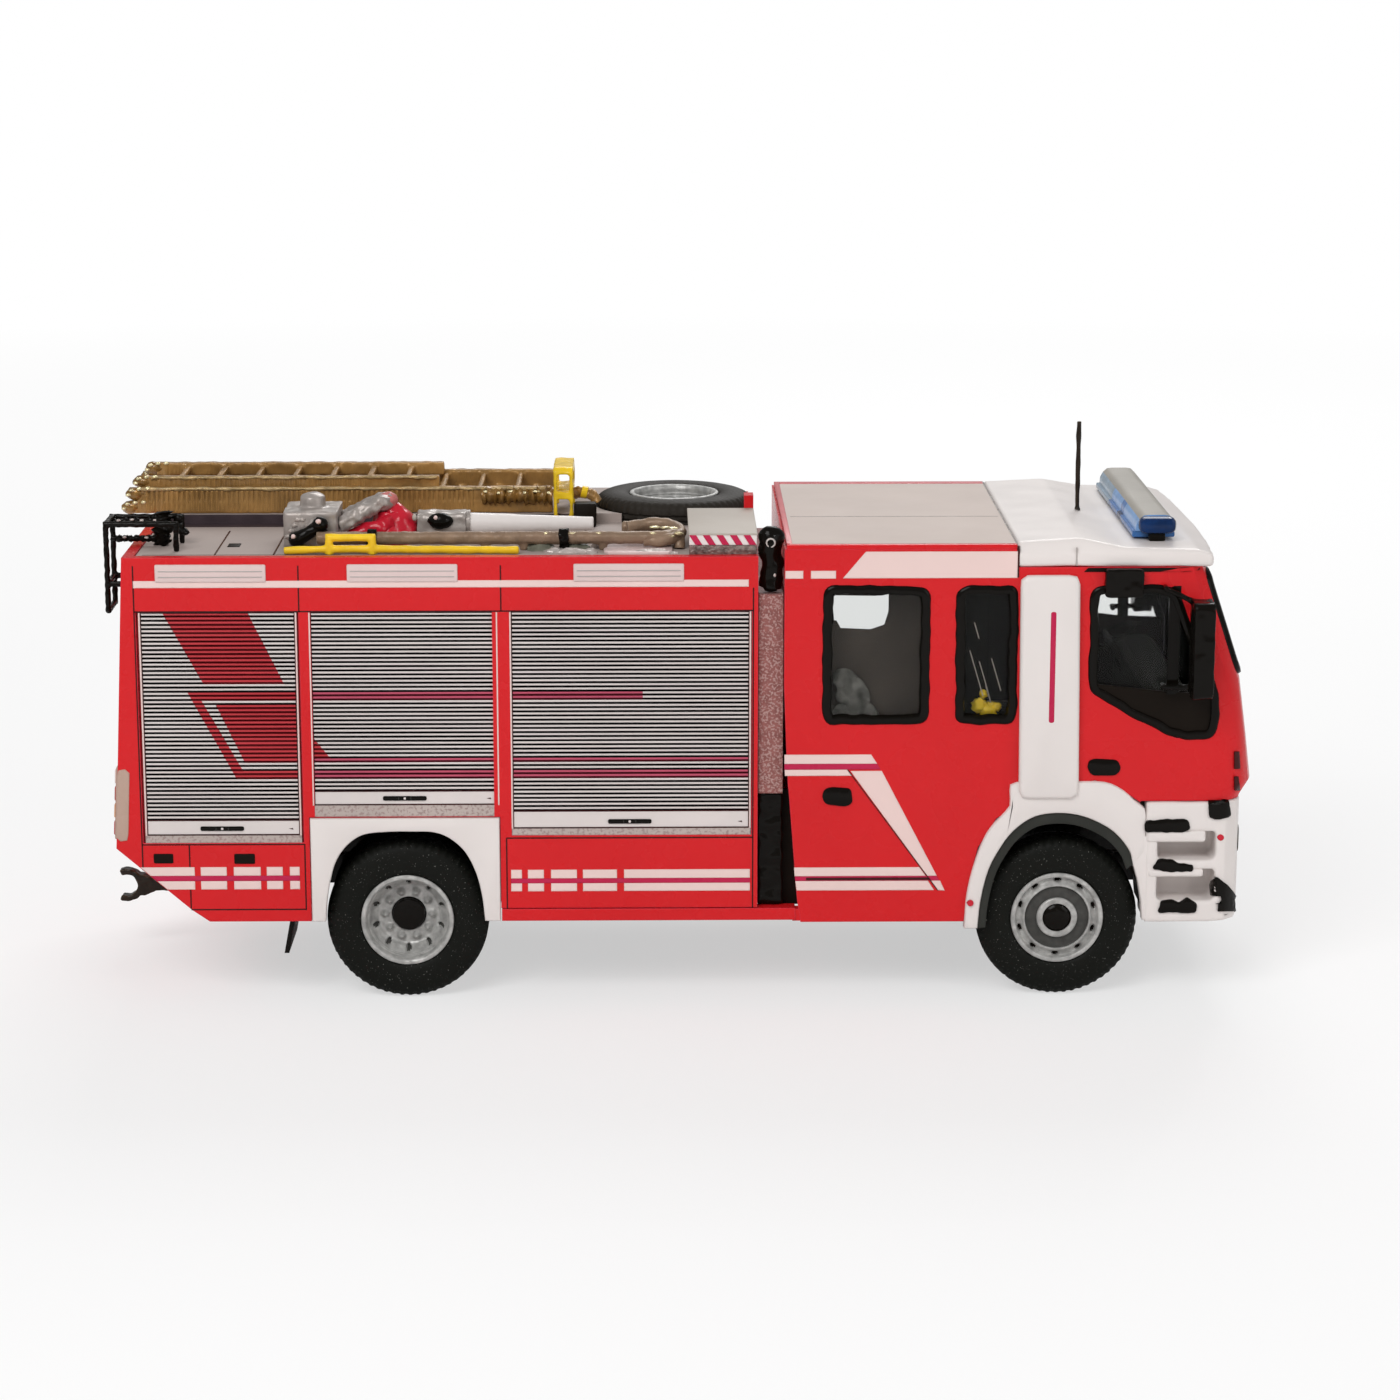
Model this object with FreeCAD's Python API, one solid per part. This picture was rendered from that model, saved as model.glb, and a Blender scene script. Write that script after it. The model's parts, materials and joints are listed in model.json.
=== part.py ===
import FreeCAD, Part
import math
import os

# Scale model of a fire engine: crew cab, locker body, roof load and two axles that roll.
# X points to the front, Y to the left, Z up. The origin lies under the middle of the model.

# Overall sizes
wheelbase = 48.2
front_overhang = 14.2
rear_overhang = 21.2
hook_reach = 2.0
body_width = 28.6
body_height = 33.5
cab_length = 34.6
cab_height = 34.0
wheel_radius = 6.0

# Clearances and common walls
wall = 1.1
seat_gap = 0.05
overrun = 1.0
running_gap = 0.06
straight_share = 0.999

# Axles and wheels
pin_radius = 0.75
track_inset = 0.75
front_tyre_width = 3.4
rear_tyre_width = 3.1
twin_gap = 0.5
rim_radius = 3.3
rim_wall = 0.3
flange_height = 0.14
flange_width = 0.22
tyre_bulge = 0.3
tread_shoulder = 0.45
hub_radius = 1.05
hub_length = 0.9
nave_radius = 1.9
disc_thickness = 0.35
dish_depth = 2.1
front_disc_depth = 0.55
vent_circle = 2.62
vent_length = 0.62
vent_width = 0.42
vent_count = 10
bearing_length = 2.6
bearing_radius = 1.6
pin_end_gap = 0.25
tyre_shoulder_share = 0.62
bar_sides = 8

# Rear body
base_height = 6.2
rear_rake = 1.1
tail_height = 11.8
tail_run = 5.4
tail_drop = 4.7
tail_toe = 1.3
cab_gap = 1.9
roof_thickness = 1.5
rim_thickness = 0.8
rim_post_side = -2.6
rim_post_width = 1.4
rim_post_height = 2.5
deck_thickness = 0.7
arch_half = 7.0
arch_lip = 0.1
arch_proud = 0.1
arch_panel_thickness = 0.6
rear_arch_shares = [(0.985, 0.0), (0.96, 0.35), (0.81, 0.8), (0.66, 1.03), (0.45, 1.167)]
locker_top = 29.5
locker_sill_rear = 12.2
locker_sill_front = 12.7
shutter_depth = 0.45
shutter_thickness = 0.35
shutter_rail = 0.9
rail_proud = 0.08
shutter_handle_length = 3.2
shutter_handle_height = 0.28
post_width = 0.85
front_post = 0.45
tail_post = 2.0
rear_door_margin = 3.4
rear_door_sill = 12.6

# Deck, lamps and small pieces of the rear body
platform_rise = 0.7
platform_inset = 0.9
platform_near = 0.6
scene_lamp_length = 8.15
scene_lamp_height = 1.3
scene_lamp_drop = 0.5
scene_lamp_proud = 0.12
scene_lamp_shares = [0.139, 0.44, 0.796]
lamp_width = 0.9
lamp_height = 5.4
lamp_base = 12.4
lamp_thickness = 0.35
lamp_inset = 0.5
sill_height = 0.9
sill_reach = 2.8
sill_thickness = 1.2

# Chassis
rail_height = 2.2
rail_width = 1.0
rail_centre = 4.0
rail_top = 8.6
crossmember_length = 1.6
crossmember_shares = [0.02, 0.2, 0.46, 0.62, 0.8]
frame_reach_front = 11.6
plate_thickness = 0.8
frame_post_length = 2.4
screw_radius = 0.6
screw_boss_radius = 1.5
screw_boss_height = 3.0
screw_share = 0.4
tank_length = 9.0
tank_height = 3.6
tank_inset = 2.6
tank_ahead_share = 0.47
tank_lift = 0.2
tank_round = 0.7
liner_thickness = 0.5
flap_width = 6.2
flap_thickness = 0.35
flap_top = 11.3
flap_bottom = 3.4
flap_lean = 1.5
flap_inset = 1.2
hook_radius = 1.3
hook_band = 0.45
hook_width = 1.0
hook_height = 5.1
hook_jaw = 115
hook_wedge = 1.0

# Cab shell
cab_wall = 0.9
cab_lean = 1.3
cab_corner = 2.2
corner_steps = 3
front_roof_base = 32.65
cab_skirt = 6.0
mask_gap = 0.2
nose_low_height = 16.45
nose_height = 19.7
screen_base = 24.0
front_low_setback = 0.7
front_nose_setback = 0.0
front_upper_setback = 0.4
front_screen_setback = 1.0
front_brow_setback = 3.9
rear_skirt_height = 7.7
skirt_lean_share = 0.8

# Windows, as distances behind the nose and heights
window_round = 0.8
pane_thickness = 0.45
pane_inset = 0.25
crew_window_rear = 31.7
crew_window_front = 24.1
crew_window_sill = 21.1
crew_window_top = 31.2
narrow_window_rear = 22.0
narrow_window_front = 17.7
door_window_rear = 12.3
door_window_front = 2.9
door_window_top = 31.2
door_window_sill = 23.4
door_window_dip = 19.9
door_window_knee = 5.9
door_window_slant = 3.4
windscreen_margin = 1.5
windscreen_low = 24.5
windscreen_high = 31.9
windscreen_round = 1.0

# White cab panels
pillar_rear = 17.5
pillar_front = 13.0
pillar_top = 32.05
pillar_lift = 3.4
pillar_proud = 0.35
pillar_slot_width = 0.4
pillar_slot_centre = 14.8
pillar_slot_top = 29.5
pillar_slot_base = 21.2
pillar_slot_depth = 0.18
fender_proud = 0.45
fender_inner_half = 6.25
fender_inner_rise = 8.0
arch_steps = 12
fender_outer_shares = [(-1.167, -0.083), (-1.12, 0.42), (-1.0, 0.93), (-0.78, 1.3), (-0.5, 1.47)]
fender_top_shares = [(-0.5, 1.47), (0.0, 1.7), (0.42, 1.78), (0.75, 1.66), (0.98, 1.5)]
fender_end_shares = [(0.98, 1.5), (0.86, 0.92)]

# Bumper, mask and front lamps
bumper_lift = 3.1
bumper_base = 6.0
bumper_front = 0.7
bumper_corner = 2.6
bumper_proud = 0.35
bumper_wall = 1.2
step_rear = 7.0
step_front = 2.7
step_heights = [(7.6, 10.0), (10.7, 12.9)]
step_depth = 2.6
grille_slats = 3
grille_slat_height = 0.55
grille_slat_pitch = 0.95
grille_slat_proud = 0.25
grille_base = 17.0
grille_half = 8.2
intake_half = 6.0
intake_low = 8.0
intake_high = 10.0
headlamp_width = 3.0
headlamp_height = 2.1
headlamp_base = 10.6
headlamp_centre = 10.6
headlamp_thickness = 0.9
headlamp_proud = 0.1

# Roofs, light bar, antenna and mirrors
roof_rear_setback = 17.7
roof_seam_setback = 13.1
roof_nose_setback = 3.5
roof_bulge = 0.7
roof_top = 34.65
roof_rear_top = 34.4
roof_valley = 34.05
roof_valley_setback = 10.0
roof_brow = 33.9
roof_brow_setback = 4.6
roof_lip = 33.3
roof_skin = 0.8
roof_crown = 0.25
roof_shoulder = 1.1
roof_rear_base = 32.1
crew_panel_thickness = 0.3
crew_panel_inset = 0.45
bar_setback = 7.2
bar_depth = 2.7
bar_height = 1.4
bar_half = 11.5
bar_base = 34.4
bar_round = 0.55
foot_length = 1.2
foot_width = 0.9
foot_inset = 0.6
antenna_setback = 11.8
antenna_radius = 0.18
antenna_top = 41.2
antenna_base_radius = 0.35
antenna_base_height = 0.4
mirror_depth = 1.5
mirror_width = 2.6
mirror_height = 7.1
mirror_base = 23.4
mirror_setback = 5.2
mirror_gap = 0.6
mirror_round = 0.5
arm_radius = 0.22
kerb_setback = 11.4
kerb_length = 2.8
kerb_depth = 0.8
kerb_height = 2.1
arm_root_setback = 7.0
arm_high = 31.2
arm_low = 23.9

# Cab interior
crew_seat_height = 5.2
crew_seat_depth = 4.4
crew_seat_setback = 32.6
seat_back_height = 9.6
seat_back_thickness = 1.4
seat_width = 5.6
seat_gap_width = 1.6
seat_round = 0.5
front_floor_lift = 3.6
floor_thickness = 0.7
floor_step_lead = 7.4
front_seat_setback = 13.2
front_seat_height = 3.0
dash_depth = 3.2
dash_height = 6.8
wheel_ring_radius = 2.3
wheel_ring_wire = 0.24
wheel_ring_tilt = 60.0
wheel_ring_height = 24.6
wheel_ring_setback = 6.7
wheel_ring_side = 6.6

# Space between body and cab
panel_top = 30.6
panel_base = 15.7
side_panel_inset = 0.5
snorkel_width = 1.7
snorkel_top = 35.5
snorkel_base = 30.7
snorkel_rib_height = 2.35
snorkel_rib_waist = 0.35
snorkel_inset = 0.6
battery_lift = 0.1
battery_inset = 0.7
battery_width = 4.4

# Roof load
ladder_near = 0.9
ladder_width = 9.2
ladder_rail = 0.8
ladder_rail_height = 0.95
ladder_step = 1.05
ladder_rung = 0.42
ladder_pitch = 2.9
ladder_tail = 0.4
ladder_front_share = 0.668
ladder_top_front_share = 0.48
ladder_tail_step = 0.4
bracket_length = 1.5
bracket_wire = 0.55
bracket_rise = 4.3
bracket_depth = 5.0
bracket_gap = 0.1
spare_centre_share = 0.87
spare_side = 5.4
spare_width = 3.1
spare_drop = 1.4
well_gap = 0.25
well_wall = 0.8
hook_rail_radius = 0.5
hook_rail_height = 0.9
hook_rail_side = 10.9
hook_start_share = 0.3
hook_locker_gap = 0.35
hook_curl = 2.1
hook_steps = 6
hook_rung_shares = [0.505, 0.621, 0.857]
hook_rung_radius = 0.3
clamp_shares = [0.166, 0.741]
clamp_width = 0.7
clamp_post = 0.5
yellow_side = 12.6
yellow_start_share = 0.251
yellow_end_share = 0.622
yellow_wire = 0.3
yellow_height = 0.4
handle_start_share = 0.323
handle_end_share = 0.391
handle_rise = 0.85
monitor_side = 7.2
monitor_share = 0.288
monitor_length = 4.0
monitor_width = 5.0
monitor_height = 2.6
monitor_knob_radius = 0.95
monitor_knob_height = 0.8
monitor_round = 0.35
elbow_share = 0.398
pipe_radius = 0.62
pipe_spread = 1.5
pipe_rise = 3.0
pipe_start = 1.4
cone_radius = 2.0
valve_length = 3.6
valve_width = 2.2
valve_height = 1.9
valve_lift = 0.35
barrel_length = 9.4
barrel_start_radius = 0.85
barrel_end_radius = 0.5
locker_length = 4.6
locker_depth = 10.5
locker_height = 1.6
locker_front_gap = 0.25
locker_rim_gap = 0.2
locker_lid = 0.35
locker_lid_lip = 0.15
access_rail_radius = 0.22
access_rail_inset = 4.8
access_rail_width = 3.4
access_rail_out = 1.5
access_rail_rise = 2.0
access_rail_drop = 6.4
access_rail_in = 3.6
access_rail_stub = 2.4

# Places worked out from the sizes above
overall_length = hook_reach + rear_overhang + wheelbase + front_overhang
nose_x = overall_length / 2
front_axle_x = nose_x - front_overhang
rear_axle_x = front_axle_x - wheelbase
body_rear_x = rear_axle_x - rear_overhang
cab_rear_x = nose_x - cab_length
body_front_x = cab_rear_x - cab_gap
side = body_width / 2
deck_rear_x = body_rear_x + rear_rake
deck_length = body_front_x - deck_rear_x
deck_top = body_height - (rim_thickness - deck_thickness)
tyre_face = side - track_inset
liner_top = wheel_radius * (1 + rear_arch_shares[-1][1]) + 2 * liner_thickness
arch_top = liner_top + arch_lip
deck_plate_height = liner_top + seat_gap
crew_floor = rail_top + seat_gap
tail_slope = tail_drop / tail_run
tail_lift = wall * math.sqrt(1 + tail_slope * tail_slope)
tail_inner_x = body_rear_x + rear_rake + wall
tail_inner_top = tail_height + tail_lift - (rear_rake + wall) * tail_slope
tail_floor_x = tail_inner_x + (tail_inner_top - base_height) / tail_slope + overrun
frame_rear_x = tail_floor_x + seat_gap
bumper_rear_x = front_axle_x + fender_inner_half + seat_gap
front_floor = 2 * wheel_radius + front_floor_lift
bumper_top = 2 * wheel_radius + bumper_lift
mask_base = bumper_top + mask_gap
pillar_base = 2 * wheel_radius + pillar_lift
locker_x1 = body_front_x - locker_front_gap
locker_x0 = locker_x1 - locker_length
locker_near = rim_thickness + locker_rim_gap - side
sill_top = base_height + sill_height
spare_x = deck_rear_x + spare_centre_share * deck_length
spare_base = deck_top - spare_drop

parts = {}


def vec(x, y, z):
    return FreeCAD.Vector(x, y, z)


def block(x0, x1, y0, y1, z0, z1):
    return Part.makeBox(x1 - x0, y1 - y0, z1 - z0, vec(x0, y0, z0))


def face_from(points):
    return Part.Face(Part.makePolygon(points + [points[0]]))


def side_prism(outline, y0, y1):
    """Extrude an outline of (x, z) points from y0 to y1."""
    points = [vec(x, y0, z) for x, z in outline]
    return face_from(points).extrude(vec(0, y1 - y0, 0))


def rod(start, end, radius):
    axis = end.sub(start)
    return Part.makeCylinder(radius, axis.Length, start, axis)


def mirrored(shape):
    return shape.mirror(vec(0, 0, 0), vec(0, 1, 0))


def both_sides(shape):
    return Part.makeCompound([shape, mirrored(shape)])


def fused(shapes):
    return shapes[0].multiFuse(shapes[1:]).removeSplitter()


def rounded(shape, radius, picks):
    """Round the straight edges of a shape that picks() accepts."""
    edges = [edge for edge in shape.Edges if picks(edge)]
    return shape.makeFillet(radius, edges)


def runs_along(edge, axis):
    first, last = edge.Vertexes[0].Point, edge.Vertexes[-1].Point
    run = last.sub(first)
    return run.Length > 0 and abs(run.dot(axis)) > straight_share * run.Length


along_x = vec(1, 0, 0)
along_y = vec(0, 1, 0)
along_z = vec(0, 0, 1)


def rounded_block(x0, x1, y0, y1, z0, z1, radius, axis):
    shape = block(x0, x1, y0, y1, z0, z1)
    return rounded(shape, radius, lambda edge: runs_along(edge, axis))


def revolved(profile, x, z):
    """Turn a profile of (radius, y) points about the axle line at x, z."""
    points = [vec(x + radius, y, z) for radius, y in profile]
    return face_from(points).revolve(vec(x, 0, z), along_y, 360)


def bar_section(start, axis, radius):
    """An even-sided section of a thin bar, square to its axis."""
    near = along_x if abs(axis.z) > abs(axis.x) else along_z
    across = near.cross(axis).normalize()
    up = axis.cross(across).normalize()
    points = []
    for index in range(bar_sides):
        angle = 2 * math.pi * (index + 1 / 2) / bar_sides
        points.append(start + across * (radius * math.cos(angle)) + up * (radius * math.sin(angle)))
    return Part.makePolygon(points + [points[0]])


def bent_bar(route, radius):
    """A thin bar along straight runs, mitred at its bends."""
    first = route[1].sub(route[0])
    section = bar_section(route[0], first, radius)
    if len(route) == 2:
        return Part.Face(section).extrude(first)
    return Part.makePolygon(route).makePipeShell([section], True, False, 1)


def add(name, shape):
    parts[name] = shape


def add_to(name, shape):
    """Add a right-hand piece and its mirror image to a node that holds several."""
    known = [parts[name]] if name in parts else []
    parts[name] = Part.makeCompound(known + [shape, mirrored(shape)])


# Running gear

def tyre_profile(width):
    """Half section of a tyre as (radius, distance from its outer face)."""
    low = rim_radius + seat_gap
    shoulder = low + tyre_shoulder_share * (wheel_radius - low)
    half = [(low, tyre_bulge), (shoulder, 0), (wheel_radius, tread_shoulder)]
    return half + [(r, width - t) for r, t in reversed(half)]


def tyre(axle_x, outer_y, width):
    profile = [(r, outer_y + t) for r, t in tyre_profile(width)]
    return revolved(profile, axle_x, wheel_radius)


def vents(axle_x, y, depth):
    """A ring of six-sided vents through the disc, long along the radius."""
    half_length, half_width = vent_length / 2, vent_width / 2
    outline = [(half_length, 0), (half_length / 2, half_width), (-half_length / 2, half_width),
               (-half_length, 0), (-half_length / 2, -half_width), (half_length / 2, -half_width)]
    slot = side_prism([(vent_circle + x, z) for x, z in outline], y - depth, y + depth)
    holes = []
    for index in range(vent_count):
        hole = slot.copy()
        hole.rotate(vec(0, 0, 0), along_y, 360 * index / vent_count)
        hole.translate(vec(axle_x, 0, wheel_radius))
        holes.append(hole)
    return Part.makeCompound(holes)


def wheel(axle_x, outer_y, width, disc_depth, hub_out):
    """Rim barrel, flanges, vented disc and hub of one wheel; outer_y is the tyre's outer face."""
    rim_out = outer_y + tyre_bulge - flange_width
    rim_in = outer_y + width - tyre_bulge + flange_width
    disc_out = outer_y + disc_depth
    disc_in = disc_out + disc_thickness
    flange = rim_radius + flange_height
    inner = rim_radius - rim_wall
    bore = pin_radius + seat_gap / 5
    hub_face = disc_out - hub_out
    profile = [(bore, hub_face), (hub_radius, hub_face), (nave_radius, disc_out), (inner, disc_in),
               (inner, rim_out), (flange, rim_out), (flange, rim_out + flange_width),
               (rim_radius, rim_out + flange_width), (rim_radius, rim_in), (inner, rim_in),
               (inner, disc_in + disc_thickness), (bore, disc_in + disc_thickness)]
    return revolved(profile, axle_x, wheel_radius).cut(vents(axle_x, disc_in, 2 * disc_thickness))


def axle_pin(axle_x, hub_depth):
    reach = tyre_face - hub_depth - pin_end_gap
    pin = rod(vec(axle_x, -reach, wheel_radius), vec(axle_x, reach, wheel_radius), pin_radius)
    return pin


def build_running_gear():
    front_width = front_tyre_width
    twin_width = 2 * rear_tyre_width + twin_gap
    front_tyre = tyre(front_axle_x, -tyre_face, front_width)
    front_wheel = wheel(front_axle_x, -tyre_face, front_width, front_disc_depth, hub_length / 2)
    outer_tyre = tyre(rear_axle_x, -tyre_face, rear_tyre_width)
    inner_tyre = tyre(rear_axle_x, -tyre_face + rear_tyre_width + twin_gap, rear_tyre_width)
    twin_wheel = wheel(rear_axle_x, -tyre_face, twin_width, dish_depth, hub_length)
    add("front_tyre_right", front_tyre)
    add("front_tyre_left", mirrored(front_tyre))
    add("front_wheel_right", front_wheel)
    add("front_wheel_left", mirrored(front_wheel))
    add("rear_tyres_right", Part.makeCompound([outer_tyre, inner_tyre]))
    add("rear_tyres_left", mirrored(Part.makeCompound([outer_tyre, inner_tyre])))
    add("rear_wheel_right", twin_wheel)
    add("rear_wheel_left", mirrored(twin_wheel))
    add("front_axle", axle_pin(front_axle_x, front_disc_depth))
    add("rear_axle", axle_pin(rear_axle_x, dish_depth))


# Chassis

def bearing(axle_x):
    """A block between the rails with the bore that the axle turns in, and its cap below."""
    half = bearing_radius
    top = rail_top
    shape = block(axle_x - half, axle_x + half, -rail_centre, rail_centre, wheel_radius, top)
    barrel = rod(vec(axle_x, -rail_centre, wheel_radius), vec(axle_x, rail_centre, wheel_radius), half)
    relief = block(axle_x - half - overrun, axle_x + half + overrun,
                   bearing_length - rail_centre, rail_centre - bearing_length,
                   wheel_radius - half - overrun, wheel_radius + pin_radius + running_gap * 2)
    bore = rod(vec(axle_x, -rail_centre - overrun, wheel_radius),
               vec(axle_x, rail_centre + overrun, wheel_radius), pin_radius + running_gap)
    return shape.fuse(barrel).cut(relief), bore


def build_chassis():
    rear = frame_rear_x
    front = front_axle_x + frame_reach_front
    low = rail_top - rail_height
    pieces = []
    for sign in (-1, 1):
        y0 = sign * rail_centre - rail_width / 2
        pieces.append(block(rear, front, y0, y0 + rail_width, low, rail_top))
    for share in crossmember_shares:
        x0 = rear + share * (front - rear)
        pieces.append(block(x0, x0 + crossmember_length, -rail_centre, rail_centre, low, rail_top))
    front_bearing, front_bore = bearing(front_axle_x)
    rear_bearing, rear_bore = bearing(rear_axle_x)
    pieces += [front_bearing, rear_bearing]
    # Body floor on short posts, between the lockers
    floor_rear = deck_rear_x + wall + seat_gap
    floor_front = body_front_x - wall - seat_gap
    half = side - wall - seat_gap
    plate = block(floor_rear, floor_front, -half, half, deck_plate_height, deck_plate_height
                  + plate_thickness)
    pieces.append(plate)
    for x0 in (rear, rear_axle_x - frame_post_length / 2, floor_front - wall - frame_post_length):
        pieces.append(block(x0, x0 + frame_post_length, -rail_centre, rail_centre, rail_top
                            - rail_width,
                            deck_plate_height))
    # Boss for the screw that holds the model on its stand
    screw_x = rear_axle_x + screw_share * wheelbase
    pieces.append(Part.makeCylinder(screw_boss_radius, screw_boss_height, vec(screw_x, 0, low)))
    pieces.append(block(screw_x - screw_boss_radius, screw_x + screw_boss_radius, -rail_centre,
                        rail_centre,
                        rail_top - rail_width, rail_top))
    frame = fused(pieces)
    frame = frame.cut(front_bore).cut(rear_bore)
    screw_hole = Part.makeCylinder(screw_radius, screw_boss_height + overrun,
                                   vec(screw_x, 0, low - overrun))
    add("chassis_frame", frame.cut(screw_hole))


def frame_notch():
    """Room for the frame through the walls between the body and the cab."""
    half = rail_centre + rail_width / 2 + seat_gap
    return block(rear_axle_x, front_axle_x, -half, half, 0, rail_top + seat_gap)


# The arch's clear outline over an axle, from its shares of the wheel radius

def arch_outline(axle_x, shares, grow):
    right = [(axle_x + (dx + grow) * wheel_radius, wheel_radius * (1 + dz + grow)) for dx, dz in shares]
    left = [(2 * axle_x - x, z) for x, z in reversed(right)]
    foot = base_height - overrun
    outer = (shares[0][0] + grow) * wheel_radius
    return [(axle_x + outer, foot)] + right + left + [(axle_x - outer, foot)]


def body_side_outline():
    return [(body_rear_x, tail_height), (body_rear_x + tail_run, tail_height - tail_drop),
            (body_rear_x + tail_run + tail_toe, base_height), (body_front_x, base_height),
            (body_front_x, body_height), (deck_rear_x, body_height)]


def locker_openings():
    """Each side opening as (name, rear x, front x, sill)."""
    arch_rear = rear_axle_x - arch_half
    arch_front = rear_axle_x + arch_half
    return [("rear_shutter", body_rear_x + tail_post, arch_rear - post_width / 2, locker_sill_rear),
            ("middle_shutter", arch_rear + post_width / 2, arch_front - post_width / 2, arch_top
             + seat_gap),
            ("front_shutter", arch_front + post_width, body_front_x - front_post, locker_sill_front)]


def spare_well():
    return Part.makeCylinder(wheel_radius + well_gap, body_height, vec(spare_x, spare_side, spare_base))


def build_body_shell():
    outer = side_prism(body_side_outline(), -side, side)
    inner = block(tail_inner_x, body_front_x - wall, wall - side, side - wall,
                  base_height - overrun, body_height - roof_thickness)
    toe = side_prism([(tail_inner_x - overrun, tail_inner_top + overrun * tail_slope),
                      (tail_inner_x - overrun, base_height - overrun), (tail_floor_x, base_height
                                                                        - overrun),
                      (tail_floor_x - overrun, base_height)], -side, side)
    inner = inner.cut(toe)
    shell = outer.cut(inner)
    recess = block(deck_rear_x + rim_thickness, body_front_x - rim_thickness, rim_thickness - side,
                   side - rim_thickness, body_height - rim_thickness, body_height + overrun)
    # Well for the spare wheel, let into the roof
    cup = vec(spare_x, spare_side, spare_base - well_wall)
    well = Part.makeCylinder(wheel_radius + well_gap + well_wall, body_height - overrun - cup.z, cup)
    shell = shell.cut(recess).fuse(well.common(outer)).cut(spare_well())
    cuts = []
    for _, x0, x1, sill in locker_openings():
        cuts.append(block(x0, x1, -side - overrun, shutter_depth - side, sill, locker_top))
    arch = [(rear_axle_x - arch_half, base_height - overrun),
            (rear_axle_x + arch_half, base_height - overrun),
            (rear_axle_x + arch_half, arch_top), (rear_axle_x - arch_half, arch_top)]
    cuts.append(side_prism(arch, -side - overrun, wall - side + overrun))
    # Notches for the sills, and for the roof locker over the front rim
    cuts.append(block(rear_axle_x + arch_half, body_front_x + overrun, -side - overrun,
                      sill_thickness + seat_gap - side, base_height - overrun, sill_top + seat_gap))
    cuts += [mirrored(cut) for cut in cuts]
    cuts.append(block(locker_x0, locker_x1 + seat_gap, locker_near - seat_gap,
                      locker_near + locker_depth + seat_gap, deck_top, body_height + overrun))
    cuts.append(rear_door_prism(rear_door_margin, rear_door_sill, locker_top, -overrun, shutter_depth))
    shell = shell.cut(Part.makeCompound(cuts)).cut(frame_notch())
    post = block(body_front_x - rim_thickness + seat_gap, body_front_x - seat_gap, rim_post_side,
                 rim_post_side + rim_post_width, body_height - rim_thickness, body_height + rim_post_height)
    add("body_shell", shell.fuse(post).removeSplitter())


def rear_face_x(z):
    """The leaning rear face's x at a height."""
    return body_rear_x + rear_rake * (z - tail_height) / (body_height - tail_height)


def rear_door_prism(margin, sill, top, out, depth):
    """A slab that follows the leaning rear face, from out behind it to depth inside it."""
    outline = [(rear_face_x(sill) + out, sill), (rear_face_x(sill) + depth, sill),
               (rear_face_x(top) + depth, top), (rear_face_x(top) + out, top)]
    return side_prism(outline, margin - side, side - margin)


def shutter(x0, x1, sill, top):
    """One roller shutter in its recess, with its bottom rail and bar handle."""
    back = shutter_depth - side
    front = back - shutter_thickness
    left, right = x0 + seat_gap, x1 - seat_gap
    low, high = sill + seat_gap, top - seat_gap
    plate = block(left, right, front, back, low, high)
    rail = block(left, right, front - rail_proud, back, low, low + shutter_rail)
    middle = (x0 + x1) / 2
    bar_low = low + shutter_rail / 2 - shutter_handle_height / 2
    bar = rounded_block(middle - shutter_handle_length / 2, middle + shutter_handle_length / 2,
                        front - 2 * rail_proud, back, bar_low, bar_low + shutter_handle_height,
                        shutter_handle_height / 3, along_y)
    return fused([plate, rail, bar])


def build_shutters():
    for name, x0, x1, sill in locker_openings():
        shape = shutter(x0, x1, sill, locker_top)
        add(name + "_right", shape)
        add(name + "_left", mirrored(shape))
    sill, top = rear_door_sill + seat_gap, locker_top - seat_gap
    margin = rear_door_margin + seat_gap
    plate = rear_door_prism(margin, sill, top, shutter_depth - shutter_thickness, shutter_depth)
    rail = rear_door_prism(margin, sill, sill + shutter_rail, shutter_depth - shutter_thickness
                           - rail_proud,
                           shutter_depth)
    add("tail_shutter", fused([plate, rail]))


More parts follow.
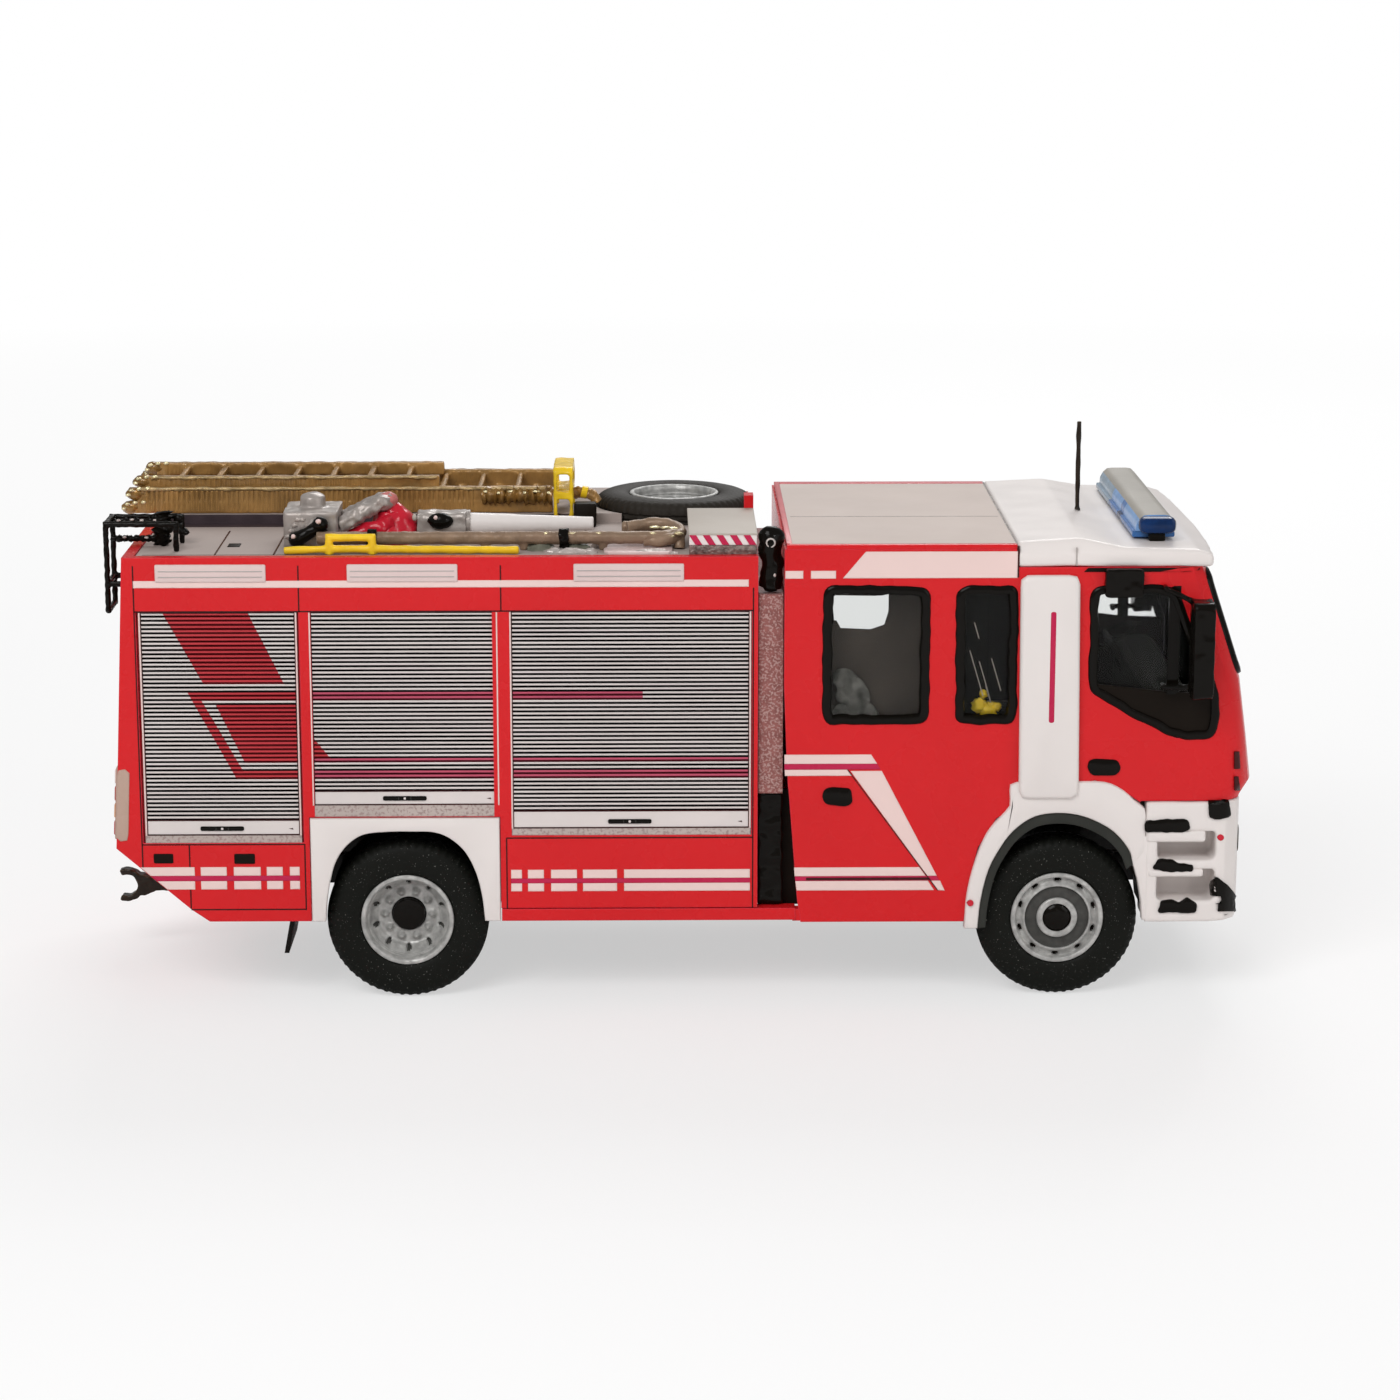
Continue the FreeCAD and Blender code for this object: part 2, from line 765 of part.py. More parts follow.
def build_body_trim():
    # Roof deck in the recess of the shell, with the raised platform for the ladders
    plate = block(deck_rear_x + rim_thickness + seat_gap, body_front_x - rim_thickness - seat_gap,
                  rim_thickness + seat_gap - side, side - rim_thickness - seat_gap,
                  body_height - rim_thickness, deck_top)
    inset = rim_thickness + platform_inset
    platform = block(deck_rear_x + inset, body_front_x - inset, platform_near, side - inset,
                     deck_top - deck_thickness / 2, deck_top + platform_rise)
    add("roof_deck", fused([plate, platform]).cut(spare_well()))
    # White panels round the rear wheels
    x0, x1 = rear_axle_x - arch_half + seat_gap, rear_axle_x + arch_half - seat_gap
    frame = block(x0, x1, -side - arch_proud, arch_panel_thickness - side, base_height, arch_top
                  - seat_gap)
    clear = side_prism(arch_outline(rear_axle_x, rear_arch_shares, 0), -side - overrun, overrun)
    panel = frame.cut(clear)
    add("rear_arch_panels", both_sides(panel))
    # Scene lamps under the roof edge
    lamps = []
    for share in scene_lamp_shares:
        x = deck_rear_x + share * deck_length
        lamp = block(x - scene_lamp_length / 2, x + scene_lamp_length / 2, -side - scene_lamp_proud,
                     -side,
                     body_height - scene_lamp_drop - scene_lamp_height, body_height - scene_lamp_drop)
        lamps += [lamp, mirrored(lamp)]
    add("scene_lamps", Part.makeCompound(lamps))
    # Lamp strips at the rear corners
    slab = rear_door_prism(lamp_inset, lamp_base, lamp_base + lamp_height, -lamp_thickness, 0)
    gap = block(body_rear_x - overrun, body_rear_x + overrun * 2, lamp_inset + lamp_width - side,
                side - lamp_inset - lamp_width, lamp_base - overrun, lamp_base + lamp_height + overrun)
    add("rear_lamps", slab.cut(gap))
    # Sills under the front lockers, reaching on to the cab's step
    x0 = rear_axle_x + arch_half + seat_gap
    strip = block(x0, body_front_x + sill_reach, -side - arch_proud, sill_thickness - side,
                  base_height, sill_top)
    add("side_sills", both_sides(strip))


def arc_about(x, z, radius, angles):
    """An arc in the side plane through three angles."""
    points = [vec(x + radius * math.cos(a), 0, z + radius * math.sin(a)) for a in angles]
    return Part.Arc(*points).toShape()


def build_under_body():
    # Wheel liners: bent strips over the tyres
    rear_depth = 2 * rear_tyre_width + twin_gap + track_inset
    outer = side_prism(arch_outline(rear_axle_x, rear_arch_shares, 2 * liner_thickness / wheel_radius),
                       arch_panel_thickness + seat_gap - side, rear_depth - side)
    inner = side_prism(arch_outline(rear_axle_x, rear_arch_shares, liner_thickness / wheel_radius),
                       -side, rear_depth + overrun - side)
    low_cut = block(rear_axle_x - 2 * arch_half, rear_axle_x + 2 * arch_half, -side, side,
                    0, wheel_radius * 2 / 3 + base_height / 2)
    add_to("wheel_liners", outer.cut(inner).cut(low_cut))
    # Fuel tank on the right and left rails
    x0 = rear_axle_x + tank_ahead_share * wheelbase - tank_length / 2
    tank = rounded_block(x0 - tank_length / 2, x0 + tank_length / 2, tank_inset - side,
                         -rail_centre - rail_width / 2, base_height + tank_lift,
                         base_height + tank_lift + tank_height, tank_round, along_x)
    add("side_tanks", both_sides(tank))
    # Mudflaps behind the rear wheels
    top_x = rear_axle_x - arch_half - flap_thickness
    y0 = flap_inset - side
    outline = [(top_x, flap_top), (top_x - flap_lean, flap_bottom),
               (top_x - flap_lean - flap_thickness, flap_bottom),
               (top_x - flap_thickness, flap_top)]
    add("mudflaps", both_sides(side_prism(outline, y0, y0 + flap_width)))
    # Tow hook below the tail
    jaw = math.radians(hook_jaw)
    hook_x = body_rear_x - hook_reach - hook_radius * math.cos(jaw)
    inner = hook_radius - hook_band
    outer_arc = arc_about(hook_x, hook_height, hook_radius, [jaw, 0, -jaw])
    inner_arc = arc_about(hook_x, hook_height, inner, [-jaw, 0, jaw])
    closing = [Part.makeLine(outer_arc.Vertexes[-1].Point, inner_arc.Vertexes[0].Point),
               Part.makeLine(inner_arc.Vertexes[-1].Point, outer_arc.Vertexes[0].Point)]
    hook = Part.Face(Part.Wire([outer_arc, closing[0], inner_arc, closing[1]]))
    hook = hook.extrude(vec(0, hook_width, 0)).translated(vec(0, -hook_width / 2, 0))
    wedge = side_prism([(hook_x + inner, hook_height - inner),
                        (hook_x + hook_radius, hook_height - inner),
                        (hook_x + hook_radius + hook_wedge, hook_height - hook_band),
                        (hook_x + hook_radius + hook_wedge, hook_height + hook_band),
                        (hook_x + hook_radius, hook_height + inner), (hook_x + inner, hook_height
                                                                      + inner)],
                       -hook_width / 2, hook_width / 2)
    shank = block(hook_x + hook_radius, frame_rear_x, -hook_width / 2, hook_width / 2,
                  hook_height - hook_band, hook_height + hook_band)
    plate = block(frame_rear_x, frame_rear_x + crossmember_length, -hook_radius, hook_radius,
                  hook_height - hook_band, rail_top - rail_height)
    add("tow_hook", fused([hook, wedge, shank, plate]))


# Cab

def cab_front_profile():
    """Heights with the nose's set-back and the rear wall's lean there."""
    return [(cab_skirt, front_low_setback + overrun, cab_lean),
            (rear_skirt_height, front_low_setback + overrun, cab_lean * skirt_lean_share),
            (mask_base, front_low_setback, cab_lean / 3),
            (nose_low_height, front_nose_setback, cab_lean / 4),
            (nose_height, front_upper_setback, cab_lean / 8),
            (screen_base, front_screen_setback, 0),
            (front_roof_base, front_brow_setback, 0),
            (cab_height, front_brow_setback + roof_bulge / 2, 0)]


def plan_points(x0, x1, half, radius, z):
    """Plan section of the cab: square at the rear, round at the front corners."""
    points = [vec(x0, -half, z)]
    for index in range(corner_steps + 1):
        angle = math.pi / 2 * index / corner_steps
        points.append(vec(x1 - radius + radius * math.sin(angle),
                          radius - half - radius * math.cos(angle), z))
    return points + [vec(point.x, -point.y, z) for point in reversed(points)]


def plan_face(x0, x1, half, radius, z):
    return face_from(plan_points(x0, x1, half, radius, z))


def cab_envelope(inset, z_shift):
    """Flat facets between plan sections at the heights of the front profile."""
    rings = []
    for z, setback, lean in cab_front_profile():
        rings.append(plan_points(cab_rear_x + lean + inset, nose_x - setback - inset, side - inset,
                                 cab_corner - inset, z + z_shift))
    faces = [face_from(rings[0]), face_from(rings[-1])]
    for low, high in zip(rings, rings[1:]):
        for index in range(len(low)):
            after = (index + 1) % len(low)
            faces.append(face_from([low[index], low[after], high[after], high[index]]))
    return Part.Solid(Part.Shell(faces))


def rounded_outline_prism(outline, y0, y1, radius):
    shape = side_prism(outline, y0, y1)
    return rounded(shape, radius, lambda edge: runs_along(edge, along_y))


def window_outline(x0, x1, z0, z1, grow):
    return [(x0 - grow, z0 - grow), (x1 + grow, z0 - grow), (x1 + grow, z1 + grow),
            (x0 - grow, z1 + grow)]


def door_window_outline(grow):
    rear, front = nose_x - door_window_rear - grow, nose_x - door_window_front + grow
    knee = nose_x - door_window_knee
    return [(rear, door_window_sill - grow), (knee, door_window_dip - grow),
            (front, door_window_dip - grow), (front, door_window_sill),
            (front - door_window_slant, door_window_top + grow),
            (rear, door_window_top + grow)]


def side_windows(grow):
    crew = window_outline(nose_x - crew_window_rear, nose_x - crew_window_front, crew_window_sill,
                          crew_window_top, grow)
    narrow = window_outline(nose_x - narrow_window_rear, nose_x - narrow_window_front, crew_window_sill,
                            crew_window_top, grow)
    return [("crew_windows", crew), ("crew_windows", narrow),
            ("door_windows", door_window_outline(grow))]


def windscreen_cutter(grow):
    half = side - windscreen_margin + grow
    shape = block(nose_x - front_brow_setback - 2 * cab_wall - overrun, nose_x + overrun, -half, half,
                  windscreen_low - grow, windscreen_high + grow)
    return rounded(shape, windscreen_round, lambda edge: runs_along(edge, along_x))


def front_arch_outline(grow):
    """Half ellipse over the front wheel, carried down to below the cab."""
    points = []
    half, rise = fender_inner_half + grow, fender_inner_rise + grow
    foot = cab_skirt - 2 * overrun
    for index in range(arch_steps + 1):
        angle = math.pi * index / arch_steps
        points.append((front_axle_x + half * math.cos(angle), wheel_radius + rise * math.sin(angle)))
    return [(front_axle_x + half, foot)] + points + [(front_axle_x - half, foot)]


def fender_outer_outline():
    shares = fender_outer_shares + fender_top_shares[1:]
    return [(front_axle_x + dx * wheel_radius, wheel_radius * (1 + dz)) for dx, dz in shares]


def build_cab_shell():
    shell = cab_envelope(0, 0).cut(cab_envelope(cab_wall, -cab_wall))
    for _, outline in side_windows(0):
        shell = shell.cut(rounded_outline_prism(outline, -side - overrun, side + overrun, window_round))
    shell = shell.cut(windscreen_cutter(0))
    # Open under the front roof moulding
    shell = shell.cut(block(nose_x - roof_rear_setback, nose_x + overrun, -side - overrun, side
                            + overrun,
                            front_roof_base, cab_height + overrun))
    # Open over the front wheels and below the mask
    front_cut = [(front_axle_x + fender_outer_shares[0][0] * wheel_radius - seat_gap, cab_skirt
                  - overrun)]
    front_cut += [(x - seat_gap, z + seat_gap) for x, z in fender_outer_outline()]
    front_cut += [(front_cut[-1][0] + seat_gap, bumper_top + seat_gap),
                  (nose_x + overrun, bumper_top + seat_gap),
                  (nose_x + overrun, cab_skirt - overrun)]
    shell = shell.cut(side_prism(front_cut, -side - overrun, side + overrun))
    add("cab_shell", shell.cut(frame_notch()))


def build_glass():
    clear = seat_gap
    for name, outline in side_windows(-clear):
        pane = rounded_outline_prism(outline, pane_inset - side, pane_inset + pane_thickness - side,
                                     window_round - clear)
        add_to(name, pane)
    pane = cab_envelope(pane_inset, 0).cut(cab_envelope(pane_inset + pane_thickness, 0))
    pane = pane.common(windscreen_cutter(-clear))
    add("windscreen", pane)


def build_cab_panels():
    # White panel behind the front door, with its slot
    x0, x1 = nose_x - pillar_rear, nose_x - pillar_front
    panel = rounded_block(x0, x1, -side - pillar_proud, -side, pillar_base, pillar_top,
                          pillar_proud / 3, along_z)
    slot_x = nose_x - pillar_slot_centre
    slot = block(slot_x - pillar_slot_width / 2, slot_x + pillar_slot_width / 2, -side - overrun,
                 pillar_slot_depth - side - pillar_proud, pillar_slot_base, pillar_slot_top)
    # Fender over the front wheel
    outline = fender_outer_outline()
    over = [(x, z + seat_gap) for x, z in outline] + [(front_axle_x, wheel_radius)]
    panel = panel.cut(slot).cut(side_prism(over, -side - overrun, side))
    add("pillar_panels", both_sides(panel))
    end = [(front_axle_x + dx * wheel_radius, wheel_radius * (1 + dz)) for dx,
           dz in fender_end_shares[1:]]
    foot = (front_axle_x, wheel_radius)
    blank = side_prism(outline + end + [foot], -side - fender_proud, cab_wall - side)
    fender = blank.cut(side_prism(front_arch_outline(0), -side - overrun, side))
    add("front_fenders", both_sides(fender))
    # Black liner inside the fender
    low = wheel_radius * 2 / 3 + cab_skirt / 2
    outer = side_prism(front_arch_outline(liner_thickness), cab_wall + seat_gap - side,
                       cab_wall + front_tyre_width - side)
    liner = outer.cut(side_prism(front_arch_outline(0), -side, side))
    keep = block(front_axle_x - 2 * wheel_radius, bumper_rear_x - seat_gap, -side, 0, low,
                 front_floor - seat_gap)
    add_to("wheel_liners", liner.common(keep))


def bumper_plan(inset, z):
    return plan_face(bumper_rear_x, nose_x - bumper_front - inset, side + bumper_proud - inset,
                     bumper_corner, z)


def build_front():
    corner = bumper_plan(0, bumper_base).extrude(vec(0, 0, bumper_top - bumper_base))
    hollow = plan_face(bumper_rear_x - overrun, nose_x - bumper_front - bumper_wall,
                       side + bumper_proud - step_depth - bumper_wall, bumper_corner - bumper_wall,
                       bumper_base - overrun)
    bumper = corner.cut(hollow.extrude(vec(0, 0, bumper_top - bumper_base + 2 * overrun)))
    cuts = []
    for low, high in step_heights:
        step = rounded_block(nose_x - step_rear, nose_x - step_front, -side - bumper_proud - overrun,
                             step_depth - side - bumper_proud, low, high, window_round / 2, along_y)
        cuts += [step, mirrored(step)]
    cuts.append(block(nose_x - bumper_front - bumper_wall - overrun, nose_x, -intake_half, intake_half,
                      intake_low, intake_high))
    lamp_cuts = []
    for sign in (-1, 1):
        y = sign * headlamp_centre
        lamp_cuts.append(block(nose_x - bumper_front - headlamp_thickness, nose_x, y
                               - headlamp_width / 2,
                               y + headlamp_width / 2, headlamp_base, headlamp_base + headlamp_height))
    arch = side_prism(front_arch_outline(0), -side - overrun, side + overrun)
    add("bumper", bumper.cut(Part.makeCompound(cuts + lamp_cuts)).cut(arch))
    lamps = []
    for sign in (-1, 1):
        y = sign * headlamp_centre
        half = headlamp_width / 2 - seat_gap
        x0 = nose_x - bumper_front - headlamp_thickness
        lamps.append(block(x0, x0 + headlamp_thickness + headlamp_proud, y - half, y + half,
                           headlamp_base + seat_gap, headlamp_base + headlamp_height - seat_gap))
    rounded_front = bumper_plan(-headlamp_proud, bumper_base)
    rounded_front = rounded_front.extrude(vec(0, 0, bumper_top - bumper_base))
    add("headlamps", Part.makeCompound(lamps).common(rounded_front))
    # Slatted mask between the windscreen and the bumper
    slats = []
    for index in range(grille_slats):
        z0 = grille_base + index * grille_slat_pitch
        slats.append(block(nose_x - cab_wall, nose_x + grille_slat_proud, -grille_half, grille_half,
                           z0, z0 + grille_slat_height))
    skin = cab_envelope(-grille_slat_proud, 0).cut(cab_envelope(0, 0))
    add("grille", Part.makeCompound(slats).common(skin))


def front_roof_solid(drop, inset):
    """The front roof moulding as side, plan and front outlines in common."""
    rear = nose_x - roof_rear_setback + inset
    nose = nose_x - roof_nose_setback - inset
    profile = [(rear, roof_rear_base), (nose_x - roof_seam_setback, roof_rear_base),
               (nose_x - roof_seam_setback, front_roof_base), (nose + roof_bulge, front_roof_base),
               (nose + roof_bulge, roof_lip - drop), (nose_x - roof_brow_setback, roof_brow - drop),
               (nose_x - roof_valley_setback, roof_valley - drop), (nose_x - roof_seam_setback,
                                                                    roof_top - drop),
               (rear, roof_rear_top - drop)]
    body = side_prism(profile, inset - side, side - inset)
    middle = vec(nose + roof_bulge, 0, roof_rear_base)
    front_arc = Part.Arc(vec(nose, inset - side, roof_rear_base), middle,
                         vec(nose, side - inset, roof_rear_base))
    lines = [Part.makeLine(vec(nose, side - inset, roof_rear_base),
                           vec(rear, side - inset, roof_rear_base)),
             Part.makeLine(vec(rear, side - inset, roof_rear_base),
                           vec(rear, inset - side, roof_rear_base)),
             Part.makeLine(vec(rear, inset - side, roof_rear_base),
                           vec(nose, inset - side, roof_rear_base))]
    plan = Part.Face(Part.Wire([front_arc.toShape()] + lines)).extrude(vec(0, 0, cab_height))
    high = roof_top - drop
    low = high - roof_shoulder
    section = [vec(rear, inset - side, roof_rear_base), vec(rear, inset - side, low)]
    crown = Part.BSplineCurve()
    half = side - inset
    crown.interpolate([vec(rear, -half, low), vec(rear, -half + roof_shoulder / 2, high - roof_crown),
                       vec(rear, 0, high),
                       vec(rear, half - roof_shoulder / 2, high - roof_crown), vec(rear, half, low)])
    lines = [Part.makeLine(vec(rear, half, low), vec(rear, half, roof_rear_base)),
             Part.makeLine(vec(rear, half, roof_rear_base), section[0]), Part.makeLine(section[0],
                                                                                       section[1])]
    front = Part.Face(Part.Wire([crown.toShape()] + lines)).extrude(vec(roof_rear_setback, 0, 0))
    return body.common(plan).common(front)


def build_roofs():
    outer = front_roof_solid(0, 0)
    hollow = front_roof_solid(roof_skin, roof_skin)
    hollow = hollow.fuse(hollow.translated(vec(0, 0, -roof_skin)))
    roof = outer.cut(hollow)
    step = block(nose_x - roof_rear_setback - overrun, nose_x - roof_seam_setback, cab_wall + seat_gap
                 - side,
                 side - cab_wall - seat_gap, roof_rear_base - overrun, front_roof_base)
    side_lip = block(nose_x - roof_rear_setback - overrun, nose_x - roof_seam_setback + overrun, -side,
                     side,
                     roof_rear_base - overrun, front_roof_base)
    add("cab_roof", roof.cut(side_lip).cut(step))
    x0, x1 = cab_rear_x + crew_panel_inset, nose_x - roof_rear_setback - seat_gap
    panel = block(x0, x1, crew_panel_inset - side, side - crew_panel_inset, cab_height, cab_height
                  + crew_panel_thickness)
    add("crew_roof", panel)
    # Light bar on two feet
    x0 = nose_x - bar_setback - bar_depth / 2
    bar = rounded_block(x0, x0 + bar_depth, -bar_half, bar_half, bar_base, bar_base + bar_height,
                        bar_round, along_y)
    feet = []
    for sign in (-1, 1):
        y = sign * (bar_half - foot_inset - foot_width / 2)
        foot_x = x0 + bar_depth / 2 - foot_length / 2
        feet.append(block(foot_x, foot_x + foot_length, y - foot_width / 2, y + foot_width / 2,
                          roof_brow - roof_crown, bar_base + bar_round))
    add("light_bar", fused([bar] + feet).cut(outer))
    antenna_x = nose_x - antenna_setback
    mast = Part.makeCylinder(antenna_radius, antenna_top - roof_valley, vec(antenna_x, 0, roof_valley))
    foot = Part.makeCone(antenna_base_radius, antenna_radius, antenna_base_height + roof_crown,
                         vec(antenna_x, 0, roof_valley))
    add("antenna", mast.fuse(foot).cut(outer))


def build_mirrors():
    x0 = nose_x - mirror_setback
    y1 = -side - mirror_gap
    housing = rounded_block(x0, x0 + mirror_depth, y1 - mirror_width, y1, mirror_base, mirror_base
                            + mirror_height,
                            mirror_round, along_x)
    arms = []
    root_x = nose_x - arm_root_setback
    for z in (arm_low, arm_high):
        end_z = min(max(z, mirror_base + mirror_round), mirror_base + mirror_height - mirror_round)
        arms.append(bent_bar([vec(root_x, -side, z), vec(root_x, y1 - arm_radius, z),
                              vec(x0 + mirror_depth / 2, y1 - arm_radius * 2, end_z)], arm_radius))
    shape = fused([housing] + arms)
    # Small flat mirror over each door window
    x0 = nose_x - kerb_setback
    kerb = block(x0, x0 + kerb_length, -side - kerb_depth, -side, front_roof_base - seat_gap
                 - kerb_height,
                 front_roof_base - seat_gap)
    kerb = rounded(kerb, kerb_depth / 3, lambda edge: runs_along(edge, along_y))
    add("mirrors", both_sides(Part.makeCompound([shape, kerb])))


def chamfered(x0, x1, z0, z1, cut):
    """Outline of a block seen from the side with its corners cut off."""
    return [(x0 + cut, z0), (x1 - cut, z0), (x1, z0 + cut), (x1, z1 - cut), (x1 - cut, z1),
            (x0 + cut, z1), (x0, z1 - cut), (x0, z0 + cut)]


def seat(x0, floor, height, y0, width):
    """One seat with its back, facing forward; x0 is the back's rear."""
    top = floor + height
    back_top = top + seat_back_height
    cushion = side_prism(chamfered(x0, x0 + crew_seat_depth, floor, top, seat_round), y0, y0 + width)
    back = side_prism([(x0, top - height / 2), (x0 + seat_back_thickness, top - height / 2),
                       (x0 + seat_back_thickness, top + seat_back_height / 2),
                       (x0 + seat_back_thickness / 2, back_top), (x0, back_top)],
                      y0 + seat_round, y0 + width - seat_round)
    return [cushion, back]


def build_interior():
    inner = side - cab_wall - seat_gap
    step_x = front_axle_x - floor_step_lead
    rear_x = cab_rear_x + cab_wall + cab_lean
    front_x = nose_x - front_low_setback - cab_wall - cab_corner / 2
    low = crew_floor
    outline = [(rear_x, low), (step_x, low), (step_x, front_floor), (front_x, front_floor),
               (front_x, front_floor + floor_thickness), (step_x - floor_thickness, front_floor
                                                          + floor_thickness),
               (step_x - floor_thickness, low + floor_thickness), (rear_x, low + floor_thickness)]
    pieces = [side_prism(outline, -inner, inner)]
    pitch = seat_width + seat_gap_width
    for index in range(3):
        y0 = (index - 1) * pitch - seat_width / 2
        pieces += seat(nose_x - crew_seat_setback, low + floor_thickness / 2, crew_seat_height * 2, y0,
                       seat_width)
    for sign in (-1, 1):
        y0 = sign * wheel_ring_side - seat_width / 2
        pieces += seat(nose_x - front_seat_setback, front_floor + floor_thickness / 2,
                       front_seat_height, y0, seat_width)
    dash_x = nose_x - front_screen_setback - cab_wall - dash_depth - cab_corner
    dash_outline = chamfered(dash_x, dash_x + dash_depth, front_floor + floor_thickness / 2,
                             front_floor + dash_height, seat_round)
    dash = side_prism(dash_outline, cab_corner - inner, inner - cab_corner)
    pieces.append(dash)
    rim_out, rim_in = wheel_ring_radius + wheel_ring_wire, wheel_ring_radius - wheel_ring_wire
    profile = [vec(rim_in, 0, 0), vec(wheel_ring_radius, 0, wheel_ring_wire), vec(rim_out, 0, 0)]
    ring = face_from(profile).revolve(vec(0, 0, 0), along_z, 360)
    spokes = bent_bar([vec(0, -wheel_ring_radius, 0), vec(0, wheel_ring_radius, 0)], wheel_ring_wire)
    column = bent_bar([vec(0, 0, 0), vec(0, 0, -dash_depth)], wheel_ring_wire * 2)
    wheel_shape = fused([ring, spokes, column])
    wheel_shape.rotate(vec(0, 0, 0), along_y, -wheel_ring_tilt / 2)
    wheel_shape.translate(vec(nose_x - wheel_ring_setback - dash_depth / 2, wheel_ring_side,
                              wheel_ring_height - dash_depth / 2))
    pieces.append(wheel_shape)
    add("cab_interior", fused(pieces))


def build_gap():
    """Panel, air intake and box in the space between the body and the cab."""
    x0 = body_front_x + seat_gap
    half = side - side_panel_inset
    panel = block(x0, cab_rear_x - seat_gap, -half, half, panel_base, panel_top)
    add("gap_panel", panel)
    ribs = int((snorkel_top - snorkel_base) / snorkel_rib_height)
    x_mid = (body_front_x + cab_rear_x) / 2
    y_mid = snorkel_inset + snorkel_width / 2 - side
    radius = snorkel_width / 2
    outline = [vec(x_mid, y_mid, snorkel_base)]
    for index in range(ribs):
        z0 = snorkel_base + index * snorkel_rib_height
        outline += [vec(x_mid + radius - snorkel_rib_waist, y_mid, z0),
                    vec(x_mid + radius, y_mid, z0 + snorkel_rib_height / 2)]
    top = snorkel_base + ribs * snorkel_rib_height
    outline += [vec(x_mid + radius - snorkel_rib_waist, y_mid, top), vec(x_mid, y_mid, top)]
    snorkel = face_from(outline).revolve(vec(x_mid, y_mid, 0), along_z, 360)
    battery = block(x0, cab_rear_x - seat_gap, battery_inset - side, battery_inset + battery_width
                    - side,
                    sill_top + battery_lift, panel_base - seat_gap)
    add("air_intake", Part.makeCompound([snorkel, battery, mirrored(battery)]))


# Roof load

def deck_x(share):
    return deck_rear_x + share * deck_length


def ladder(x0, x1, y0, y1, z0):
    rails = [block(x0, x1, y0, y0 + ladder_rail, z0, z0 + ladder_rail_height),
             block(x0, x1, y1 - ladder_rail, y1, z0, z0 + ladder_rail_height)]
    count = int((x1 - x0) / ladder_pitch)
    first = x0 + (x1 - x0 - (count - 1) * ladder_pitch) / 2
    middle = z0 + ladder_rail_height / 2
    rungs = []
    for index in range(count):
        x = first + index * ladder_pitch
        rungs.append(block(x - ladder_rung / 2, x + ladder_rung / 2, y0 + ladder_rail / 2, y1
                           - ladder_rail / 2,
                           middle - ladder_rung / 2, middle + ladder_rung / 2))
    return fused(rails + rungs)


def build_ladders():
    x0 = deck_rear_x - ladder_tail
    x1 = deck_x(ladder_front_share)
    y0, y1 = ladder_near, ladder_near + ladder_width
    z0 = deck_top + platform_rise
    lower = ladder(x0 - ladder_tail_step * 2, x1, y0, y1, z0)
    middle = ladder(x0 - ladder_tail_step, x1, y0 + seat_gap, y1 - seat_gap, z0 + ladder_step)
    add("main_ladder", Part.makeCompound([lower, middle]))
    top_z = z0 + ladder_step + ladder_rail_height / 2 + ladder_rung / 2 + seat_gap / 2
    add("top_ladder", ladder(x0, deck_x(ladder_top_front_share), y0 + ladder_rail + seat_gap * 2,
                             y1 - ladder_rail - seat_gap * 2, top_z))
    # Yellow end bracket over the ladders' front ends
    bx0 = x1 + bracket_gap
    bx1 = bx0 + bracket_length
    near, far = platform_near - bracket_wire - seat_gap, platform_near + bracket_depth
    top = deck_top + bracket_rise
    frame = rounded_block(bx0, bx1, near, far, deck_top, top, bracket_wire, along_x)
    middle_z = deck_top + bracket_rise / 2
    half = bracket_wire / 2
    for low, high in ((deck_top + bracket_wire, middle_z - half), (middle_z + half, top - bracket_wire)):
        through = block(bx0 - overrun, bx1 + overrun, near + bracket_wire, far - bracket_wire, low, high)
        across = block(bx0 + half, bx1 - half, near - overrun, far + overrun, low, high)
        frame = frame.cut(through).cut(across)
    step = block(bx0 - overrun, bx1 + overrun, platform_near - seat_gap, far + overrun,
                 deck_top - overrun, z0)
    add("ladder_bracket", frame.cut(step))


def build_spare():
    x, y = spare_x, spare_side
    z0 = spare_base
    profile = [vec(x + r, y, z0 + t) for r, t in tyre_profile(spare_width)]
    add("spare_tyre", face_from(profile).revolve(vec(x, y, 0), along_z, 360))
    top = z0 + spare_width - tyre_bulge + flange_width
    disc = z0 + spare_width - front_disc_depth - disc_thickness
    inner = rim_radius - rim_wall
    rim = [(hub_radius, disc), (inner, disc), (inner, top), (rim_radius + flange_height, top),
           (rim_radius + flange_height, top - flange_width), (rim_radius, top - flange_width),
           (rim_radius, z0 + tyre_bulge), (inner, z0 + tyre_bulge), (inner, disc - disc_thickness),
           (hub_radius, disc - disc_thickness)]
    profile = [vec(x + r, y, z) for r, z in rim]
    post = Part.makeCylinder(hub_radius, disc - z0 + disc_thickness, vec(x, y, z0))
    add("spare_wheel", face_from(profile).revolve(vec(x, y, 0), along_z, 360).fuse(post))


